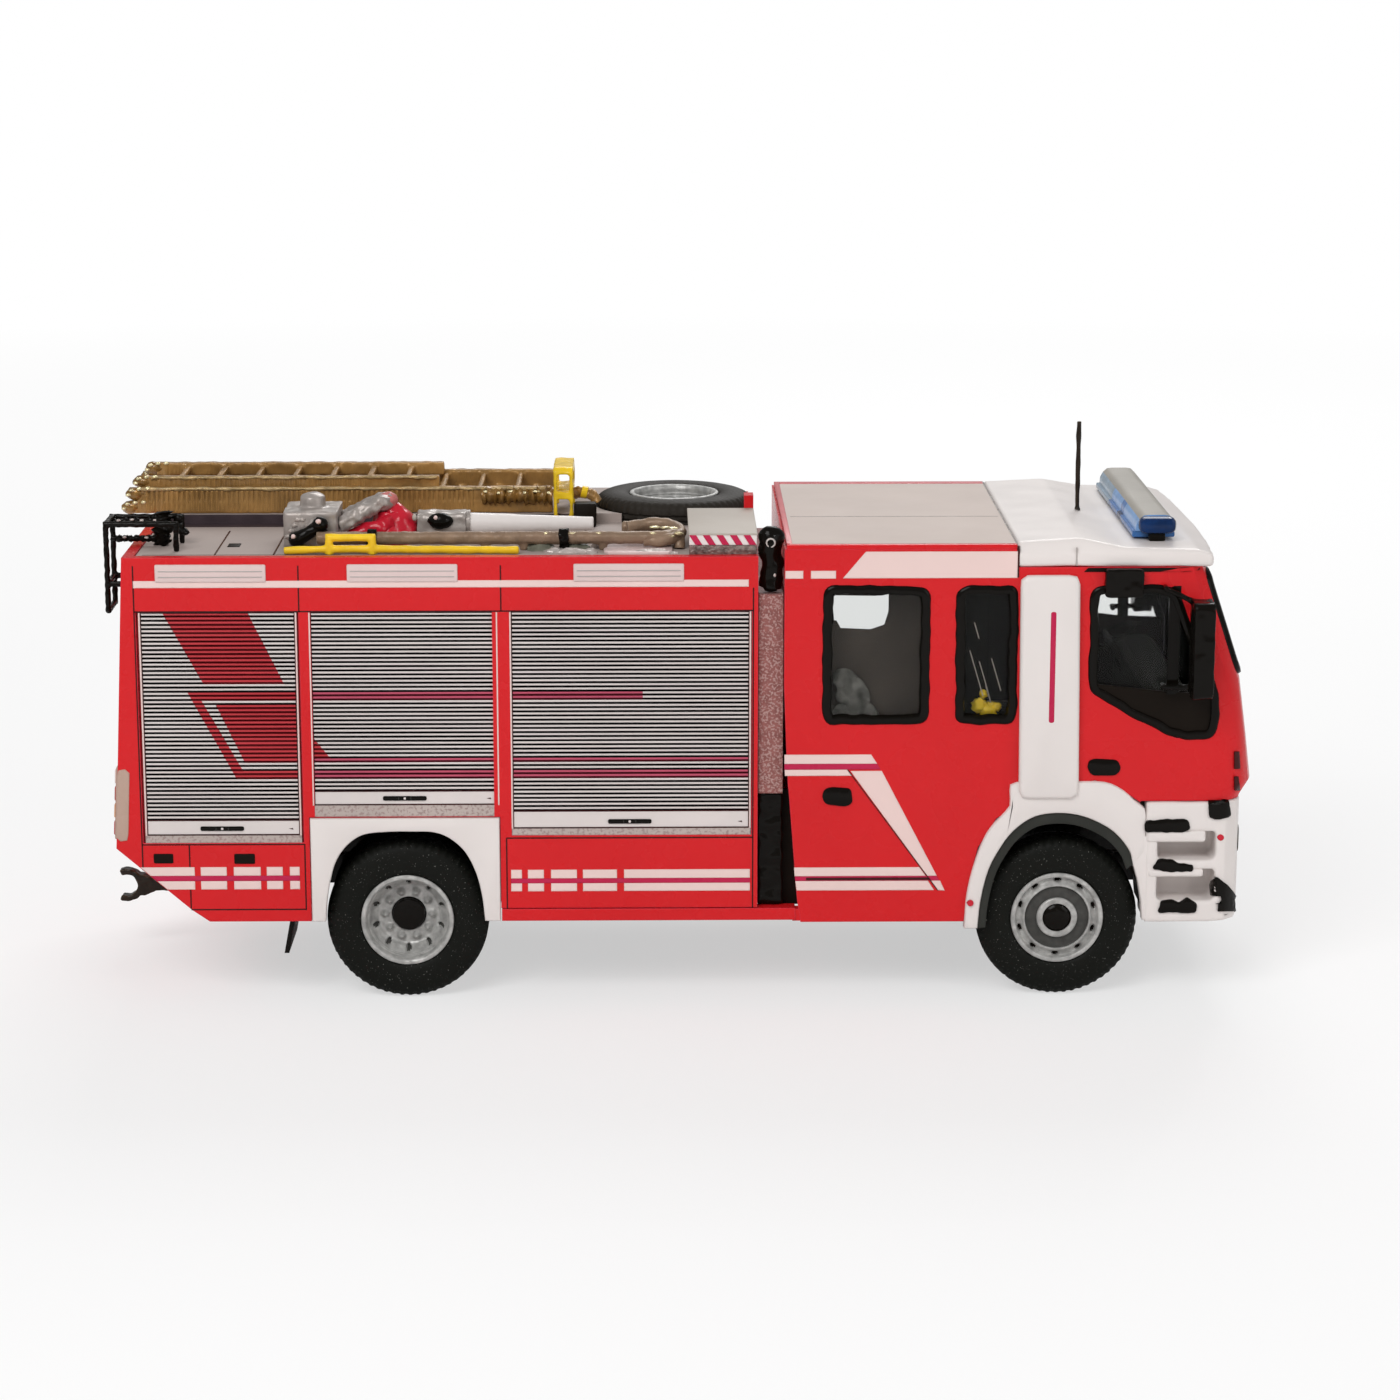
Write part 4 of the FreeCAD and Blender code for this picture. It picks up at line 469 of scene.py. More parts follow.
def even(outline, spacing):
    """The closed outline again with points an even distance apart."""
    corners = [Vector(point) for point in outline] + [Vector(outline[0])]
    lengths = [(b - a).length for a, b in zip(corners, corners[1:])]
    total = sum(lengths)
    count = max(8, round(total / spacing))
    points = []
    run, k = 0.0, 0
    for i in range(count):
        target = total * i / count
        while run + lengths[k] < target and k < len(lengths) - 1:
            run += lengths[k]
            k += 1
        t = (target - run) / max(lengths[k], 1e-9)
        points.append(tuple(corners[k].lerp(corners[k + 1], t)))
    return points


def wobbly(outline, amount, seed=0.0, wave=1.1):
    """Pushes points in and out a little, as a hand-painted edge runs."""
    result = []
    for (u, v), (pu, pv) in zip(outline, inset(outline, 1.0)):
        push = amount * noise.noise(Vector((u / wave, v / wave, seed)))
        result.append((u + (pu - u) * push, v + (pv - v) * push))
    return result


# Shapes: each gives points and faces

def loops_to_faces(loops, per_loop, capped=True, closed=False):
    faces = []
    for k in range(loops if closed else loops - 1):
        low, high = k * per_loop, (k + 1) % loops * per_loop
        for i in range(per_loop):
            j = (i + 1) % per_loop
            faces.append([low + i, low + j, high + j, high + i])
    if capped and not closed:
        faces.append(list(range(per_loop))[::-1])
        faces.append([(loops - 1) * per_loop + i for i in range(per_loop)])
    return faces


def prism(outline, low, high, place):
    points = [place(u, v, depth) for depth in (low, high) for u, v in outline]
    return points, loops_to_faces(2, len(outline))


def resample(points, count):
    """An open line again as count + 1 points an even distance apart."""
    lengths = [math.dist(a, b) for a, b in zip(points, points[1:])]
    step = sum(lengths) / count
    result = [points[0]]
    run, k = 0.0, 0
    for i in range(1, count):
        while run + lengths[k] < step * i:
            run += lengths[k]
            k += 1
        t = (step * i - run) / lengths[k]
        result.append(tuple(Vector(points[k]).lerp(Vector(points[k + 1]), t)))
    return result + [points[-1]]


def band(outer, inner, low, high, edge, place):
    """A pillow between two open lines that run the same way."""
    count = 48
    outline = resample(outer, count) + resample(inner, count)[::-1]
    points, faces = pillow(outline, low, high, edge, place)
    size = len(outline)
    faces = faces[:-2]
    last = len(points) - size
    for i in range(count):
        a, b, c, d = i, i + 1, size - 2 - i, size - 1 - i
        faces += [[a, d, c, b], [last + a, last + b, last + c, last + d]]
    return points, faces


def pillow(outline, low, high, edge, place):
    """A prism whose rims are rounded by edge."""
    rows = [(edge, low), (0.3 * edge, low + 0.3 * edge), (0, low + edge)]
    rows += [(0, high - edge), (0.3 * edge, high - 0.3 * edge), (edge, high)]
    points = [place(u, v, depth) for distance, depth in rows for u, v in inset(outline, distance)]
    return points, loops_to_faces(len(rows), len(outline))


def bead(outline, width, height, place, sink=0.2, amount=0.0, seed=0.0):
    """A raised ring along an outline, as thick paint or a rubber seal; it reaches width inwards."""
    outer = wobbly(even(outline, 0.3), amount, seed)
    inner = wobbly(inset(outer, width), amount, seed + 5)
    rows = [(0.0, 0.0), (0.15, height * 0.8), (0.5, height), (0.85, height * 0.7), (1.0, -sink), (0.5, -sink),
            (0.0, -sink)]
    points = []
    for share, lift in rows:
        for (u0, v0), (u1, v1) in zip(outer, inner):
            points.append(place(u0 + (u1 - u0) * share, v0 + (v1 - v0) * share, lift))
    return points, loops_to_faces(len(rows), len(outer), closed=True)


def tube(route, radii, sides, closed=False, lumps=0.0, wave=0.8):
    """A round bar along points; radii is one size or one for each point; lumps makes it uneven."""
    route = [Vector(point) for point in route]
    count = len(route)
    if not isinstance(radii, (list, tuple)):
        radii = [radii] * count
    points = []
    normal = None
    for i, here in enumerate(route):
        before = route[i - 1] if closed or i else here
        after = route[(i + 1) % count] if closed or i < count - 1 else here
        along = (after - before).normalized()
        if normal is None:
            normal = along.orthogonal().normalized()
        normal = (normal - along * normal.dot(along)).normalized()
        across = along.cross(normal)
        for s in range(sides):
            angle = TURN * s / sides
            arm = normal * math.cos(angle) + across * math.sin(angle)
            point = here + arm * radii[i]
            points.append(point + arm * lumps * noise.noise(point / wave))
    return points, loops_to_faces(count, sides, closed=closed)


def smooth_route(corners, steps=8):
    """A curve through the corners (Catmull-Rom)."""
    pts = [Vector(corner) for corner in corners]
    pts = [pts[0] * 2 - pts[1]] + pts + [pts[-1] * 2 - pts[-2]]
    route = []
    for i in range(1, len(pts) - 2):
        a, b, c, d = pts[i - 1:i + 3]
        for s in range(steps):
            t = s / steps
            route.append(0.5 * ((2 * b) + (c - a) * t + (2 * a - 5 * b + 4 * c - d) * t * t
                                + (3 * b - a - 3 * c + d) * t ** 3))
    return route + [pts[-2]]


def smooth_outline(points):
    """The same curve in two dimensions."""
    return [(point.x, point.y) for point in smooth_route([(u, v, 0) for u, v in points], 6)]


def blob(centre, size, lumps, wave):
    """An uneven drop of paint or cast metal; size is half its length on each axis."""
    rings = 10
    sides = 16
    points = []
    for k in range(rings + 1):
        lift = math.pi * k / rings
        for s in range(sides):
            angle = TURN * s / sides
            arm = Vector((math.sin(lift) * math.cos(angle), math.sin(lift) * math.sin(angle), math.cos(lift)))
            grow = 1 + lumps * noise.noise((Vector(centre) + arm) / wave)
            points.append(Vector(centre) + Vector(a * b for a, b in zip(arm, size)) * grow)
    return points, loops_to_faces(rings + 1, sides, capped=False)


def finely(profile, step):
    """A profile with more points, so that no run is longer than step."""
    points = []
    for a, b in zip(profile, profile[1:]):
        count = max(1, math.ceil(math.dist(a, b) / step))
        points += [tuple(Vector(a).lerp(Vector(b), i / count)) for i in range(count)]
    return points + [profile[-1]]


def spin(profile, steps, place, relief=None, finish_at=None):
    """Turns (radius, depth) round an axis. relief changes them; finish_at names each face's material."""
    points, faces, finishes = [], [], []
    for radius, depth in profile:
        for s in range(steps):
            angle = TURN * s / steps
            r, d = relief(radius, depth, angle, s) if relief else (radius, depth)
            points.append(place(r * math.cos(angle), r * math.sin(angle), d))
    for k in range(len(profile) - 1):
        centre = (Vector(profile[k]) + Vector(profile[k + 1])) / 2
        for s in range(steps):
            t = (s + 1) % steps
            faces.append([k * steps + s, k * steps + t, (k + 1) * steps + t, (k + 1) * steps + s])
            finishes.append(finish_at(centre.x, centre.y, TURN * (s + 0.5) / steps) if finish_at else None)
    return points, faces, finishes


# Surfaces of CAD nodes that paint and plates lie on

trees = {}


def surface(node):
    if node not in trees:
        mesh = frame["nodes"][node].data
        points = [vertex.co / MM for vertex in mesh.vertices]
        trees[node] = BVHTree.FromPolygons(points, [list(face.vertices) for face in mesh.polygons])
    return trees[node]


def photo_point(px, py):
    """Where the photograph's pixel meets the nearest of the painted nodes, and the surface's normal there."""
    ray = Vector((px - photo_pixels / 2, photo_pixels / 2 - py, -focal_pixels))
    ray.rotate(camera_turn)
    hits = [surface(node).ray_cast(camera_place, ray.normalized()) for node in painted_nodes]
    hits = [(distance, place, normal) for place, normal, _, distance in hits if place is not None]
    return min(hits, key=lambda hit: hit[0])[1:] if hits else (None, None)


def photo_patch(pile, outline, finish, lift, ragged=0.0):
    """Thick paint inside an outline of photograph pixels, on both sides of the painted nodes."""
    rows = 10
    columns = 8
    top = min(y for x, y in outline)
    bottom = max(y for x, y in outline)
    front, back = [], []
    last_hit = photo_point(sum(x for x, y in outline) / len(outline), (top + bottom) / 2)
    for k in range(rows + 1):
        py = top + (bottom - top) * (0.02 + 0.96 * k / rows)
        hits = []
        for (x0, y0), (x1, y1) in zip(outline, outline[1:] + outline[:1]):
            if (y0 - py) * (y1 - py) <= 0 and y0 != y1:
                hits.append(x0 + (x1 - x0) * (py - y0) / (y1 - y0))
        left = min(hits) + ragged * noise.noise(Vector((py / 3, 1, 0)))
        right = max(hits) + ragged * noise.noise(Vector((py / 3, 7, 0)))
        for c in range(columns + 1):
            hit = photo_point(left + (right - left) * c / columns, py)
            if hit[0] is None or (hit[0] - last_hit[0]).length > 2:
                hit = last_hit
            last_hit = hit
            front.append(hit[0] + hit[1] * lift)
            back.append(hit[0] - hit[1] * lift)
    wide = columns + 1
    last = len(front)
    faces = []
    for k in range(rows):
        for a in range(k * wide, k * wide + columns):
            faces.append([a, a + 1, a + 1 + wide, a + wide])
            faces.append([last + a, last + a + wide, last + a + 1 + wide, last + a + 1])
    rim = list(range(wide)) + [k * wide + columns for k in range(1, rows + 1)]
    rim += [rows * wide + c for c in range(columns - 1, -1, -1)] + [k * wide for k in range(rows - 1, 0, -1)]
    faces += [[a, b, last + b, last + a] for a, b in zip(rim, rim[1:] + rim[:1])]
    for side in (1, -1):
        pile.add(([(p.x, p.y * side, p.z) for p in front + back], faces), finish)


# Wheels and tyres. A ring's spots are its nuts or its vents

lug_count = 60
lug_steps = 4
lug_depth = 0.06
tread_groove = 0.12
wheel_steps = 150
spot_count = 10
twin_gap = 0.5
# Section of a tyre's wall: radius and distance from its outer face
tyre_wall = [(3.34, 0.42), (3.45, 0.25), (3.75, 0.1), (4.3, 0.0), (4.9, 0.02), (5.3, 0.12), (5.5, 0.2),
             (5.64, 0.26)]
# Sections of the wheels' faces
front_dish = [(0, -0.06), (0.5, -0.04), (0.8, 0.02), (1.0, 0.14), (1.04, 0.2), (1.08, 0.03), (1.42, 0.0),
              (1.5, 0.05), (1.54, 0.24), (2.3, 0.32), (2.36, 0.28), (2.4, 0.1), (2.5, 0.12), (2.72, 0.36),
              (2.98, 0.44), (3.04, 0.3), (3.1, 0.06)]
rear_dish = [(0, 1.42), (0.6, 1.45), (1.14, 1.5), (1.2, 1.62), (1.25, 2.0), (1.3, 1.86), (2.2, 1.9),
             (2.32, 1.82), (2.6, 1.42), (2.86, 1.0), (2.84, 0.9), (2.93, 0.8), (2.9, 0.68), (2.98, 0.6),
             (3.0, 0.3), (3.08, 0.1)]
# Face, depth of the back, vents as ring, reach and half length, and the ring of the nuts
front_wheel = (front_dish, 0.5, (2.84, 0.2, 0.3), None)
rear_wheel = (rear_dish, 2.0, (2.58, 0.3, 0.24), 1.76)


def tyre_outline(radius, width):
    """Section of a tyre: radius and distance from its outer face."""
    wall = tyre_wall + [(radius - 0.14, 0.42), (radius - 0.04, 0.65), (radius, 0.95)]
    grooves = []
    for share in (0.36, 0.5, 0.64):
        at = width * share
        low = radius - tread_groove
        grooves += [(radius, at - 0.1), (low, at - 0.05), (low, at + 0.05), (radius, at + 0.1)]
    return wall + grooves + [(r, width - depth) for r, depth in reversed(wall)] + [wall[0]]


def add_tyre(pile, place, radius, width, finish="tyre_rubber"):
    def relief(r, depth, angle, step):
        edge = min(depth, width - depth)
        if r > 5.6 and edge < 0.9 and step % lug_steps >= lug_steps / 2:
            return r - lug_depth, depth + (0.05 if depth < width / 2 else -0.05)
        if r > radius - 0.01 and step % (2 * lug_steps) == int(depth * 3) % 4:
            return r - tread_groove, depth
        rough = 0.02 * noise.noise(Vector((r * math.cos(angle), r * math.sin(angle), depth)) * 2.5)
        return min(r + rough, radius), depth

    pile.add(spin(tyre_outline(radius, width), lug_count * lug_steps, place, relief)[:2], finish)


def spot(radius, angle, ring, reach, along, phase=0.0):
    """How far inside one of the spots on a ring a point is: 1 in its middle, 0 outside."""
    step = TURN / spot_count
    off = ((angle - phase + step / 2) % step - step / 2) * ring
    return max(0.0, 1 - math.hypot((radius - ring) / reach, off / along))


def add_wheel(pile, place, width, wheel, hub_radius, ring_radius, dark_radius):
    """A wheel as one turned form, with nuts standing out of it and vents pressed into it."""
    face, back, vents, nuts = wheel
    rim = [(3.16, 0.02), (3.28, 0.0), (3.4, 0.03), (3.44, 0.12), (3.36, 0.24), (3.3, 0.4), (3.3, width - 0.4),
           (3.44, width - 0.12), (3.3, width), (3.06, width - 0.05), (3.0, width - 0.5), (2.9, back + 0.5),
           (0, back + 0.5)]
    last = face[-1][0] + 0.01
    deep = back + 0.45

    def relief(r, depth, angle, _):
        if r < last and depth < deep:
            if nuts:
                depth -= 0.55 * min(0.75, spot(r, angle, nuts, 0.33, 0.33))
            depth += 0.5 * min(0.75, 1.6 * spot(r, angle, *vents, 0.3))
            depth += 0.02 * noise.noise(Vector((r * math.cos(angle), r * math.sin(angle), 0)) * 3)
        return r, depth

    def finish_at(r, depth, angle):
        if depth > deep or r > last:
            return "rim_silver"
        if spot(r, angle, *vents, 0.3) > 0.3:
            return "dish_grey" if nuts else "matt_black"
        if r < hub_radius:
            return "black_plastic"
        return "dish_grey" if ring_radius < r < dark_radius else "rim_silver"

    points, faces, finishes = spin(finely(face, 0.09) + rim, wheel_steps, place, relief, finish_at)
    pile.add((points, faces), finishes)


def build_wheels():
    for axle, tyres, looks in (("front", "front_tyre", (front_wheel, 1.05, 1.52, 2.38)),
                               ("rear", "rear_tyres", (rear_wheel, 1.27, 0, 0))):
        for side, name in SIDE_NAMES.items():
            body = axle + "_axle_set"
            low, high = node_box(f"{tyres}_{name}")
            centre, radius = (low + high) / 2, (high.z - low.z) / 2
            outer = max(abs(low.y), abs(high.y))
            width = high.y - low.y
            offsets = [0]
            if axle == "rear":
                width = (width - twin_gap) / 2
                offsets = [0, width + twin_gap]

            def place(a, b, depth):
                return (centre.x + a, side * (outer - depth), centre.z + b)

            rubber = Pile()
            for offset in offsets:
                add_tyre(rubber, lambda a, b, depth: place(a, b, depth + offset), radius, width)
            rubber.build(f"{tyres}_{name}_treaded", "tyre_rubber", body, (f"{tyres}_{name}",), 0.001)
            low, high = node_box(f"{axle}_wheel_{name}")
            outer = max(abs(low.y), abs(high.y))
            metal = Pile()
            add_wheel(metal, place, high.y - low.y, *looks)
            metal.build(f"{axle}_wheel_{name}_painted", "rim_silver", body, (f"{axle}_wheel_{name}",), 0.001)


def build_spare():
    low, high = node_box("spare_tyre")
    centre, radius = (low + high) / 2, (high.x - low.x) / 2
    top = high.z

    def place(a, b, depth):
        return (centre.x + a, centre.y + b, top - depth)

    rubber = Pile()
    add_tyre(rubber, place, radius, high.z - low.z, "spare_rubber")
    rubber.build("spare_tyre_treaded", "tyre_rubber", stands_for=("spare_tyre",), merge=0.001)
    low, high = node_box("spare_wheel")
    top = high.z
    metal = Pile()
    add_wheel(metal, place, high.z - low.z, rear_wheel, 0.6, 0.6, 2.8)
    metal.build("spare_wheel_painted", "rim_silver", stands_for=("spare_wheel",), merge=0.001)


# Roller shutters: rows of slats whose paint follows the livery. Outlines are (X, Z)

slat_pitch = 0.31
slat_face = 0.15
slat_groove = 0.14
slat_depth = 14.2
shutter_back = 13.87
rail_width = 0.13
strip_height = 0.85
band_top = (18.1, 18.55)
band_low = (17.08, 17.57)
line_high = (22.95, 23.6)

# For each shutter: the paint's layers, the sill's height and how far its ends differ from the node's
livery = {
    "rear": ([
        ("slat_red", [(-36.97, 29.6), (-30.8, 29.6), (-28.17, 24.07), (-34.02, 24.07)]),
        ("slat_red", [(-35.23, 23.5), (-26.9, 23.5), (-26.9, 17.08), (-31.87, 17.08)]),
        ("slat", [(-34.3, 23.02), (-26.9, 23.02), (-26.9, 17.62), (-31.35, 17.62)]),
        ("slat_red", [(-33.25, 22.68), (-26.9, 22.68), (-26.9, 18.12), (-31.15, 18.12)]),
    ], 0.55, (0.12, -0.1)),
    "middle": ([
        ("slat_crimson", box_outline(-27, -13, *line_high)),
        ("slat_red", [(-26.6, 20.6), (-24.9, 18.5), (-26.6, 18.5)]),
        ("slat_crimson", box_outline(-27, -12, *band_top)),
        ("slat_crimson", box_outline(-27, -12, *band_low)),
    ], 0.85, (-0.2, 0.45)),
    "front": ([
        ("slat_crimson", box_outline(-12, -2.1, *line_high)),
        ("slat_crimson", box_outline(-12, 5.66, *band_top)),
        ("slat_crimson", box_outline(-12, 5.66, *band_low)),
    ], 0.5, (-0.08, 0.0)),
}


def side_lines(polygon, v, rows):
    """Where the polygon's left and right sides, at the height v, run at each height in rows."""
    sides = []
    for (u0, v0), (u1, v1) in zip(polygon, polygon[1:] + polygon[:1]):
        if (v0 - v) * (v1 - v) < 0:
            sides.append([u0 + (u1 - u0) * (row - v0) / (v1 - v0) for row in rows])
    return sorted(sides)


def slat_rows(pile, layers, u0, u1, v_low, v_high, place, face):
    """Slats from v_high down to v_low, cut where the paint changes."""
    v = v_high
    while v - slat_pitch > v_low:
        rows = [(v, v - slat_face, face, face, "light"),
                (v - slat_face, v - slat_pitch * 0.8, face, face - slat_groove, "dark"),
                (v - slat_pitch * 0.8, v - slat_pitch, face - slat_groove, face, "dark")]
        for top, bottom, depth_top, depth_bottom, part in rows:
            cuts = [[u0, u0], [u1, u1]]
            spans = []
            for paint, polygon in layers:
                lines = side_lines(polygon, v - slat_pitch / 2, (top, bottom))
                lines = [[min(max(u, u0), u1) for u in line] for line in lines]
                if lines:
                    spans.append((sum(lines[0]), sum(lines[1]), paint))
                cuts += lines
            cuts.sort()
            for left, right in zip(cuts, cuts[1:]):
                if sum(right) - sum(left) < 0.002:
                    continue
                centre = (sum(left) + sum(right)) / 2
                paint = (["slat"] + [name for low, high, name in spans if low < centre < high])[-1]
                corners = [place(left[0], top, depth_top), place(right[0], top, depth_top),
                           place(right[1], bottom, depth_bottom), place(left[1], bottom, depth_bottom)]
                pile.add((corners, [[0, 1, 2, 3]]), f"{paint}_{part}")
        v -= slat_pitch
    return v


def add_shutter(pile, layers, u0, u1, v0, v1, sill, place, face=slat_depth, back=shutter_back):
    """Slats between two light rails, over a plain strip with its handle and a speckled sill."""
    low = v0 + sill + 0.1
    a, b = u0 + rail_width, u1 - rail_width
    slats_low = slat_rows(pile, layers, a + 0.02, b - 0.02, low + strip_height + 0.05, v1 - 0.06, place, face)
    pile.slab("slat_dark", (u0, u1, v0, v1), back, face - slat_groove - 0.02, place)
    pile.slab("slat_light", (a + 0.02, b - 0.02, low, slats_low), back, face, place)
    for box in ((a, b, low - 0.1, low - 0.03), (a, b, v1 - 0.07, v1), (a, a + 0.07, low - 0.03, v1 - 0.07),
                (b - 0.07, b, low - 0.03, v1 - 0.07),
                (a + 0.02, b - 0.02, slats_low - 0.04, slats_low + 0.03)):
        pile.slab("line_dark", box, back, face + 0.015, place)
    for edge, next_edge in ((u0, a), (b, u1)):
        pile.pad("mark_white", box_outline(edge, next_edge, v0 + sill, v1), back, face + 0.12, 0.05, place)
    pile.slab("speckled", (u0, u1, v0, v0 + sill), back, face + 0.08, place)
    centre = (u0 + u1) / 2 - 0.1
    v = (low + (low + strip_height)) / 2

    def around(at, reach, height):
        return (at - reach, at + reach, v - height, v + height)

    handle = round_box(*around(centre, 1.6, 0.17), 0.15)
    pile.pad("black_plastic", handle, face - 0.02, face + 0.1, 0.05, place)
    for reach in (-0.45, 0.45):
        pile.slab("dish_grey", around(centre + reach, 0.02, 0.1), face, face + 0.12, place)
    pile.pad("slat_light", round_box(*around(centre, 0.09, 0.09), 0.08), face, face + 0.14, 0.04, place)
    catch = [(u1 - 0.95, v - 0.02), (u1 - 0.62, v - 0.1), (u1 - 0.66, v + 0.03)]
    pile.add(prism(catch, face, face + 0.02, place), "line_dark")


def build_shutters():
    for kind, (layers, sill, (rear_end, front_end)) in livery.items():
        for side, name in SIDE_NAMES.items():
            node = f"{kind}_shutter_{name}"
            low, high = node_box(node)
            pile = Pile()
            u0, u1 = low.x + rear_end, high.x + front_end
            add_shutter(pile, layers, u0, u1, low.z - 0.05, high.z, sill, on_side(side))
            pile.build(node + "_slatted", "shutter_grey", stands_for=(node,))


# Livery and panel lines on the flat sides. Outlines are (X, Z), the same on both sides

body_side = 14.3
mark_lift = 0.025
line_width = 0.1
rear_ends = [(-34.67, -32.76), (-32.24, -30.26), (-29.82, -28.64), (-28.12, -27.4)]
front_ends = [(-11.85, -11.05), (-10.61, -9.43), (-8.91, -7.0), (-6.56, -4.05), (-3.53, 5.75)]
slope_x, slope_z, slope_run = -40.8, 11.8, 5.4 / 4.7


def slope_at(z):
    """X of the sloping underside of the tail at a height."""
    return slope_x + (slope_z - z) * slope_run + 0.06


body_marks = [("mark_white", box_outline(-38.9, 5.6, 31.28, 31.8))]
for upper, lower in ((10.37, 9.72), (9.3, 8.67)):
    slanted = [(slope_at(upper), upper), (-35.11, upper), (-35.11, lower), (slope_at(lower), lower)]
    body_marks.append(("mark_white", slanted))
    body_marks += [("mark_white", box_outline(a, b, lower, upper)) for a, b in rear_ends]
for upper, lower in ((10.08, 9.43), (9.04, 8.44)):
    body_marks += [("mark_white", box_outline(a, b, lower, upper)) for a, b in front_ends]
body_marks += [
    ("magenta", [(slope_at(9.7), 9.7), (-27.4, 9.7), (-27.4, 9.32), (slope_at(9.32), 9.32)]),
    ("magenta", box_outline(-11.85, 5.75, 9.06, 9.41)),
    ("mark_white", [(12.42, 31.87), (14.07, 33.83), (25.07, 33.83), (25.07, 31.87)]),
    ("mark_white", box_outline(8.25, 9.55, 31.85, 32.43)),
    ("mark_white", box_outline(10.1, 11.92, 31.85, 32.43)),
    ("mark_white", [(8.25, 18.74), (14.6, 18.74), (15.05, 18.05), (8.25, 18.05)]),
    ("magenta", [(8.25, 18.03), (15.06, 18.03), (15.3, 17.62), (8.25, 17.62)]),
    ("mark_white", [(8.27, 17.6), (12.85, 17.6), (13.2, 17.14), (8.3, 17.14)]),
    ("mark_white", [(13.1, 17.5), (15.4, 17.5), (19.55, 9.52), (18.85, 9.52)]),
    ("mark_white", [(9.0, 10.18), (18.25, 10.18), (18.72, 9.52), (9.05, 9.52)]),
    ("magenta", [(9.06, 9.5), (19.55, 9.5), (19.75, 9.16), (9.1, 9.16)]),
    ("line_dark", [(9.9, 9.4), (18.9, 9.4), (19.1, 9.22), (9.9, 9.22)]),
    ("mark_white", [(9.1, 9.14), (18.9, 9.14), (19.35, 8.42), (9.2, 8.42)]),
    ("mark_white", [(19.15, 9.14), (19.8, 9.14), (20.15, 8.38), (19.6, 8.42)]),
    ("line_dark", [(12.85, 17.6), (12.93, 17.6), (19.68, 8.4), (19.6, 8.4)]),
]
panel_lines = [
    (-38.9, -38.9, 10.15, 32.9), (-35.45, -35.45, 7.2, 12.05), (-26.98, -26.98, 7.05, 12.1),
    (-26.98, -26.98, 29.5, 32.9), (-12.36, -12.36, 29.5, 32.9), (-12.15, -12.15, 7.05, 12.5),
    (5.95, 5.95, 7.05, 31.2), (-38.9, 5.95, 29.52, 29.52), (-38.9, -27, 12.08, 12.08),
    (-12.15, 5.95, 12.5, 12.5), (-35.45, -27, 7.12, 7.12), (-12.15, 5.95, 7.05, 7.05),
]
box_handles = [(-38.09, -36.65, 10.67, 11.4), (-32.18, -30.66, 10.61, 11.38)]


def build_livery():
    marks = Pile()
    lines = Pile()
    for side in SIDES:
        place = on_side(side)
        for finish, outline in body_marks:
            lift = mark_lift * (2 if finish == "line_dark" else 1)
            marks.add(prism(outline, body_side - 0.02, body_side + lift, place), finish)
        for x0, x1, z0, z1 in panel_lines:
            half_x, half_z = (0, line_width / 2) if z0 == z1 else (line_width / 2, 0)
            lines.slab("line_dark", (x0 - half_x, x1 + half_x, z0 - half_z, z1 + half_z), body_side - 0.02,
                       body_side + 0.5 * mark_lift, place)
        for box in box_handles:
            lines.pad("matt_black", round_box(*box, 0.12), body_side - 0.02, body_side + 0.06, 0.04, place)
    marks.build("side_livery", "white_paint")
    lines.build("side_panel_lines", "red_paint")


# Cab: shell with a dark inside, glass, seals and trim

nose_profile = [(15.3, 42.1), (16.45, 42.8), (19.7, 42.4), (24.0, 41.8), (32.65, 38.9)]
cab_corner = 2.2
cab_wall = 0.9
crew_window = box_outline(11.1, 18.7, 21.1, 31.2)
narrow_window = box_outline(20.8, 25.1, 21.1, 31.2)
door_window = [(30.5, 23.4), (36.9, 19.9), (39.9, 19.9), (39.9, 23.4), (36.5, 31.2), (30.5, 31.2)]
door_wedge = [(30.5, 24.0), (36.3, 23.35), (40.0, 23.2), (40.0, 19.85), (36.9, 19.85), (30.5, 23.35)]
corner_reach = 0.08


def nose_at(z):
    for (z0, x0), (z1, x1) in zip(nose_profile, nose_profile[1:]):
        if z <= z1:
            return x0 + (x1 - x0) * (z - z0) / (z1 - z0)
    return nose_profile[-1][1]


def corner_drop(past):
    """How far the rounded corner falls back, past its start."""
    past = min(max(past, 0.0), cab_corner)
    return cab_corner - math.sqrt(cab_corner ** 2 - past ** 2)


def on_cab(side):
    """Like on_side, but depth is measured from the cab's skin, which turns in at the front corner."""
    def place(u, v, depth):
        return (u, side * (body_side - corner_drop(u - nose_at(v) + cab_corner + corner_reach) + depth), v)
    return place


def on_screen(u, v, depth):
    """Across is Y, up is Z and depth is measured forward from the cab's front."""
    drop = corner_drop(abs(u) - body_side + cab_corner + corner_reach)
    return (nose_at(v) - drop + depth, u, v)


